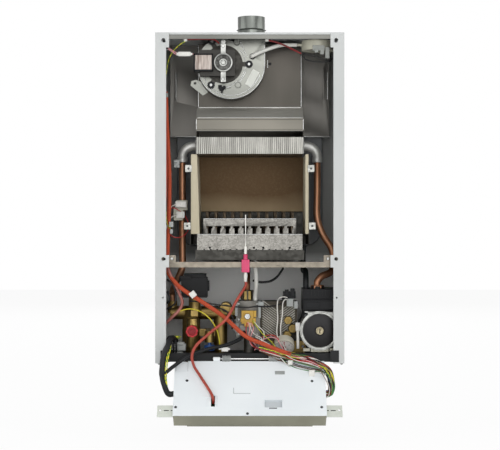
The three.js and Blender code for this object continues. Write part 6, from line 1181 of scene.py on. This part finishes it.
# The gauge: a white dial with plain ticks and figures in a cream ring and cap.
GAUGE = Vector((73.4, -236, 31))
GAUGE_TILT = math.radians(40)
GAUGE_OUT = Vector((0, -math.cos(GAUGE_TILT), -math.sin(GAUGE_TILT)))
FIGURE_RING = 11.5
FIGURE_HEIGHT, FIGURE_DEPTH = 0.0048, 0.00008
dial = moulded("white_dial_card", "#dedbd6", "#ebe8e3", 0.5)
turned("gauge_dial", GAUGE - GAUGE_OUT * 2.6, GAUGE_OUT, [(0, -0.4), (18.8, -0.4), (18.8, 0.5), (0, 0.5)],
       dial, sides=40)
cap_cream = moulded("cream_gauge_cap", "#b9b5a6", "#cbc7b8", 0.45)
dressed("pressure_gauge", cap_cream)
turned("gauge_bezel", GAUGE - GAUGE_OUT * 0.4, GAUGE_OUT,
       [(19.4, -1), (19.4, 0.6), (20, 1.1), (21.4, 1.1), (22, 0.4), (22, -5), (21.2, -5.4), (20.6, -1)],
       cap_cream, sides=40)
turned("gauge_cap", GAUGE - GAUGE_OUT * 11, GAUGE_OUT,
       [(0, -6), (17, -6), (20.6, -4.4), (21.8, -1), (21.8, 5), (0, 5)], cap_cream, sides=40)
for name, count, radius, size in (("gauge_ticks", 9, 16.6, (3, 0.7, 0.3)),
                                  ("gauge_fine_ticks", 41, 17.4, (1.2, 0.35, 0.3))):
    round_arc(name, GAUGE - GAUGE_OUT * 2.1, GAUGE_OUT, count, radius, size, black,
              start=-135, sweep=270)
for digit in range(5):
    words = bpy.data.curves.new(f"dial_figure_{digit}", "FONT")
    words.body = str(digit)
    words.size = FIGURE_HEIGHT
    words.extrude = FIGURE_DEPTH
    words.align_x = words.align_y = "CENTER"
    holder = placed(f"dial_figure_{digit}", words)
    flat = plain_mesh(holder)
    bpy.data.objects.remove(holder)
    swing = math.radians(-135 + 67.5 * digit)
    up = Vector((0, -math.sin(GAUGE_TILT), math.cos(GAUGE_TILT)))
    across = Vector((math.sin(swing), 0, 0))
    spot = GAUGE - GAUGE_OUT * 2.0 + (up * math.cos(swing) + across) * FIGURE_RING
    flat.transform(Matrix.Translation(at(*spot))
                   @ Matrix.Rotation(math.pi / 2 + GAUGE_TILT, 4, "X"))
    flat.materials.append(black)
    settle(placed(f"dial_figure_{digit}", flat))

# ---------------------------------------------------------------- control box
# The hinged box, open: its pale sheet cover with a slot, creases and a recess, the grey plastic
# housing with two ears, the board inside, and the two knobs on the fascia. Housing and ears are one
# plastic in two copies: the housing painted darker as shade, the ears lighter as painted light.
cover_coat = coated_steel("pale_cover_coat", "#e6ecef", "#f0f5f7", 0.35)
dressed("control_cover", cover_coat, body="control_box_body")
# One plastic in two copies: darker for the housing as painted shade, lighter for the ears as painted
# light.
housing_painted_shade = moulded("housing_abs_painted_shade", "#858473", "#969583", 0.5)
ear_painted_light = moulded("ear_abs_painted_light", "#cbcfc5", "#d8ddd3", 0.5)
dressed("control_housing", housing_painted_shade, body="control_box_body", bevel=0.8, other=[
    (ear_painted_light, (-191, -400, -200), (-157.2, -200, 20)), (ear_painted_light, (157.2, -400, -200), (191, -200, 20))])
screws("cover_screws", [
    on_box(-130.9, 58.3, 0), on_box(-152, 127, 0), on_box(-4.6, 143.4, 0), on_box(147.4, 127, 0),
    on_box(129.8, 59.5, 0)], 3.1, height=1.4, turn=TO_COVER, material=black_zinc, body="control_box_body")
knuckle_grey = moulded("grey_hinge_nylon", "#8b8e8c", "#a2a5a2", 0.45)
# The creases are grey lines on the pale cover: painted shade.
cover_crease = coated_steel("shaded_cover_crease", "#8d9294", "#9fa4a6", 0.4)
lines("cover_creases", [
    [on_box(-33.3, 77, -0.2), on_box(-33.3, 84, -0.2), on_box(-33.3, 92, -0.2)],
    [on_box(-33.3, 92, -0.2), on_box(-16, 92, -0.2), on_box(1.5, 92, -0.2)]],
      0.6, cover_crease, body="control_box_body")
lines("cover_folded_edges", [
    [on_box(-157, 10, -0.4), on_box(-157, 80, -0.4), on_box(-157, 148, -0.4)],
    [on_box(157, 10, -0.4), on_box(157, 80, -0.4), on_box(157, 148, -0.4)],
    [on_box(-157, 148.2, -0.4), on_box(0, 148.2, -0.4), on_box(157, 148.2, -0.4)]],
      0.7, cover_coat, body="control_box_body")


def on_cover(name, blocks, material, edge=0.4):
    """Blocks laid out on the open cover: across, out from the hinge, and above it."""
    laid = [((left, HINGE_Y - far, HINGE_Z + low), (right, HINGE_Y - near, HINGE_Z + high))
            for (left, near, low), (right, far, high) in blocks]
    moulding(name, laid, material, body="control_box_body", edge=edge,
             turn=((0, HINGE_Y, HINGE_Z), "X", 45))


on_cover("cover_bare_plate", [
    ((52.7, 33, 0), (73.4, 42, 0.8)), ((54, 34.5, 0), (72, 40.5, 1.1))], clear_grey)
on_cover("recess_frame", [
    ((29.5, 107.5, 0), (67.5, 108.7, 0.5)), ((29.5, 127.5, 0), (67.5, 128.7, 0.5)),
    ((29.5, 107.5, 0), (30.7, 128.7, 0.5)), ((66.3, 107.5, 0), (67.5, 128.7, 0.5))], cover_coat, edge=0.2)
on_cover("slot_rim", [
    ((-89, 97, 0), (-66, 98.2, 0.5)), ((-89, 125.8, 0), (-66, 127, 0.5)),
    ((-89, 97, 0), (-87.8, 127, 0.5)), ((-67.2, 97, 0), (-66, 127, 0.5))], cover_coat, edge=0.2)
on_cover("notch_plate", [
    ((-156.4, 7.2, -2.4), (-130.4, 33.6, -1.5)), ((-155, 8, -1.6), (-132, 32, -1.2))],
         cover_coat, edge=0.2)
# The recess floor is a greyer copy of the cover's coat: painted shade.
recess_grey = coated_steel("shaded_recess_coat", "#bfc4c7", "#cfd4d7", 0.4)
on_cover("recess_floor", [
    ((30.6, 108.6, -5.9), (66.4, 127.4, -5.5)), ((32, 110, -5.6), (65, 126, -5.2))],
         recess_grey, edge=0.2)
# A black block in the recess's slot stands for its shade.
on_cover("recess_slot", [
    ((39.5, 127.2, -0.4), (56, 130.8, 0.2)), ((41, 128, -0.4), (54.5, 130, 0.3))], black, edge=0.1)
on_cover("slot_flap", [
    ((-88, 98, -1.2), (-79.6, 126, -0.3)), ((-71.6, 98, -1.2), (-67.4, 126, -0.3)),
    ((-97, 96, 0), (-82, 103, 1.8))], cover_coat, edge=0.2)
# Black blocks in the ears' slots stand for their shade.
on_cover("ear_slots", [((x, 130.6, -6.2), (x + width, 132.6, -5.3)) for x, width in (
    (-162, 3.5), (-176, 10), (158.5, 3.5), (166, 10))], black, edge=0.1)
# Ribbed knuckles round the rod: six rings, 3 mm apart.
knuckle = [(0, -9), (6, -9)]
for ring in range(6):
    start = -9 + 3 * ring
    knuckle += [(7.8, start + 0.3), (7.8, start + 1.7), (6, start + 2), (6, start + 3)]
for side, x in (("left", -49.2), ("right", 49.2)):
    turned(f"hinge_knuckle_{side}", (x, HINGE_Y, HINGE_Z), (1, 0, 0), knuckle + [(0, 9)], knuckle_grey)
corner_connectors = moulding("loom_connectors", [
    ((124, -299, -24), (136, -291, -11)), ((126, -302, -21), (134, -293, -14)),
    ((80, -287, -1), (90, -280, 8)), ((82, -289, 1), (88, -282, 6))], white_nylon, body=None)
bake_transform(corner_connectors)
board = moulded("green_circuit_board", "#1f4a2c", "#2d6340", 0.35)
dressed("circuit_board", board, body="control_box_body", bevel=0.1)
for name in ("heating_knob", "hot_water_knob"):
    dressed(name, beige, body=f"{name}_body", bevel=0.6)

# ---------------------------------------------------------------- studio
# A pale floor under the part, and a white room that the camera, metal and glass see as it is,
# while matt surfaces take less light from it. Two large soft lamps stand near the camera, and
# three weaker ones light the sides and the back.
FLOOR_Z = -150
FLOOR_REACH = 6000
FLOOR_GLOW = 0.93
ROOM_LIGHT = 0.26
LAMPS_AIM = at(0, -150, 300)


def stage_plane(name, corners, material):
    mesh = bpy.data.meshes.new(name)
    mesh.from_pydata([at(*c) for c in corners], [], [(0, 1, 2, 3)])
    mesh.materials.append(material)
    placed(name, mesh)


def looked_at(tree):
    """1 for what the camera, metal or glass sees directly, 0 for light on the object."""
    ray = node(tree, "ShaderNodeLightPath").outputs
    seen = maths(tree, "MAXIMUM", ray["Is Camera Ray"], ray["Is Glossy Ray"])
    return maths(tree, "MAXIMUM", seen, ray["Is Transmission Ray"])


floor_white, tree, shader, place = finish("studio_floor", 0, 0.9)
shader.inputs["Base Color"].default_value = paint("#f4f4f4")
glow = node(tree, "ShaderNodeEmission", {"Color": paint("#ffffff"), "Strength": 1.0})
share = maths(tree, "MULTIPLY", looked_at(tree), FLOOR_GLOW)
mixed = node(tree, "ShaderNodeMixShader", {0: share, 1: shader.outputs[0], 2: glow.outputs[0]})
surface_in = next(n for n in tree.nodes if n.type == "OUTPUT_MATERIAL").inputs["Surface"]
tree.links.new(mixed.outputs[0], surface_in)
stage_plane("floor", [(x * FLOOR_REACH, y * FLOOR_REACH, FLOOR_Z)
                      for x, y in ((-1, -1), (1, -1), (1, 1), (-1, 1))], floor_white)

world = bpy.data.worlds.new("studio")
world.use_nodes = True
tree = world.node_tree
tree.nodes.clear()
strength = node(tree, "ShaderNodeMapRange", {0: looked_at(tree), 3: ROOM_LIGHT, 4: 1.0})
light = node(tree, "ShaderNodeBackground",
             {"Color": paint("#ffffff"), "Strength": strength.outputs[0]})
node(tree, "ShaderNodeOutputWorld", {"Surface": light.outputs[0]})
bpy.context.scene.world = world

for name, stand, size, watts in (
        ("key", (-1000, -3500, 1500), 3.4, 34), ("fill", (900, -3700, 50), 3.4, 80),
        ("left", (-3400, -700, 2200), 3, 42), ("right", (3400, -700, 2200), 3, 42),
        ("back", (0, 3400, 2000), 3, 55)):
    lamp = bpy.data.lights.new(name, "AREA")
    lamp.shape = "DISK"
    lamp.size = size
    lamp.energy = watts
    holder = placed(name, lamp)
    holder.location = at(*stand)
    holder.rotation_euler = (LAMPS_AIM - holder.location).to_track_quat("-Z", "Y").to_euler()
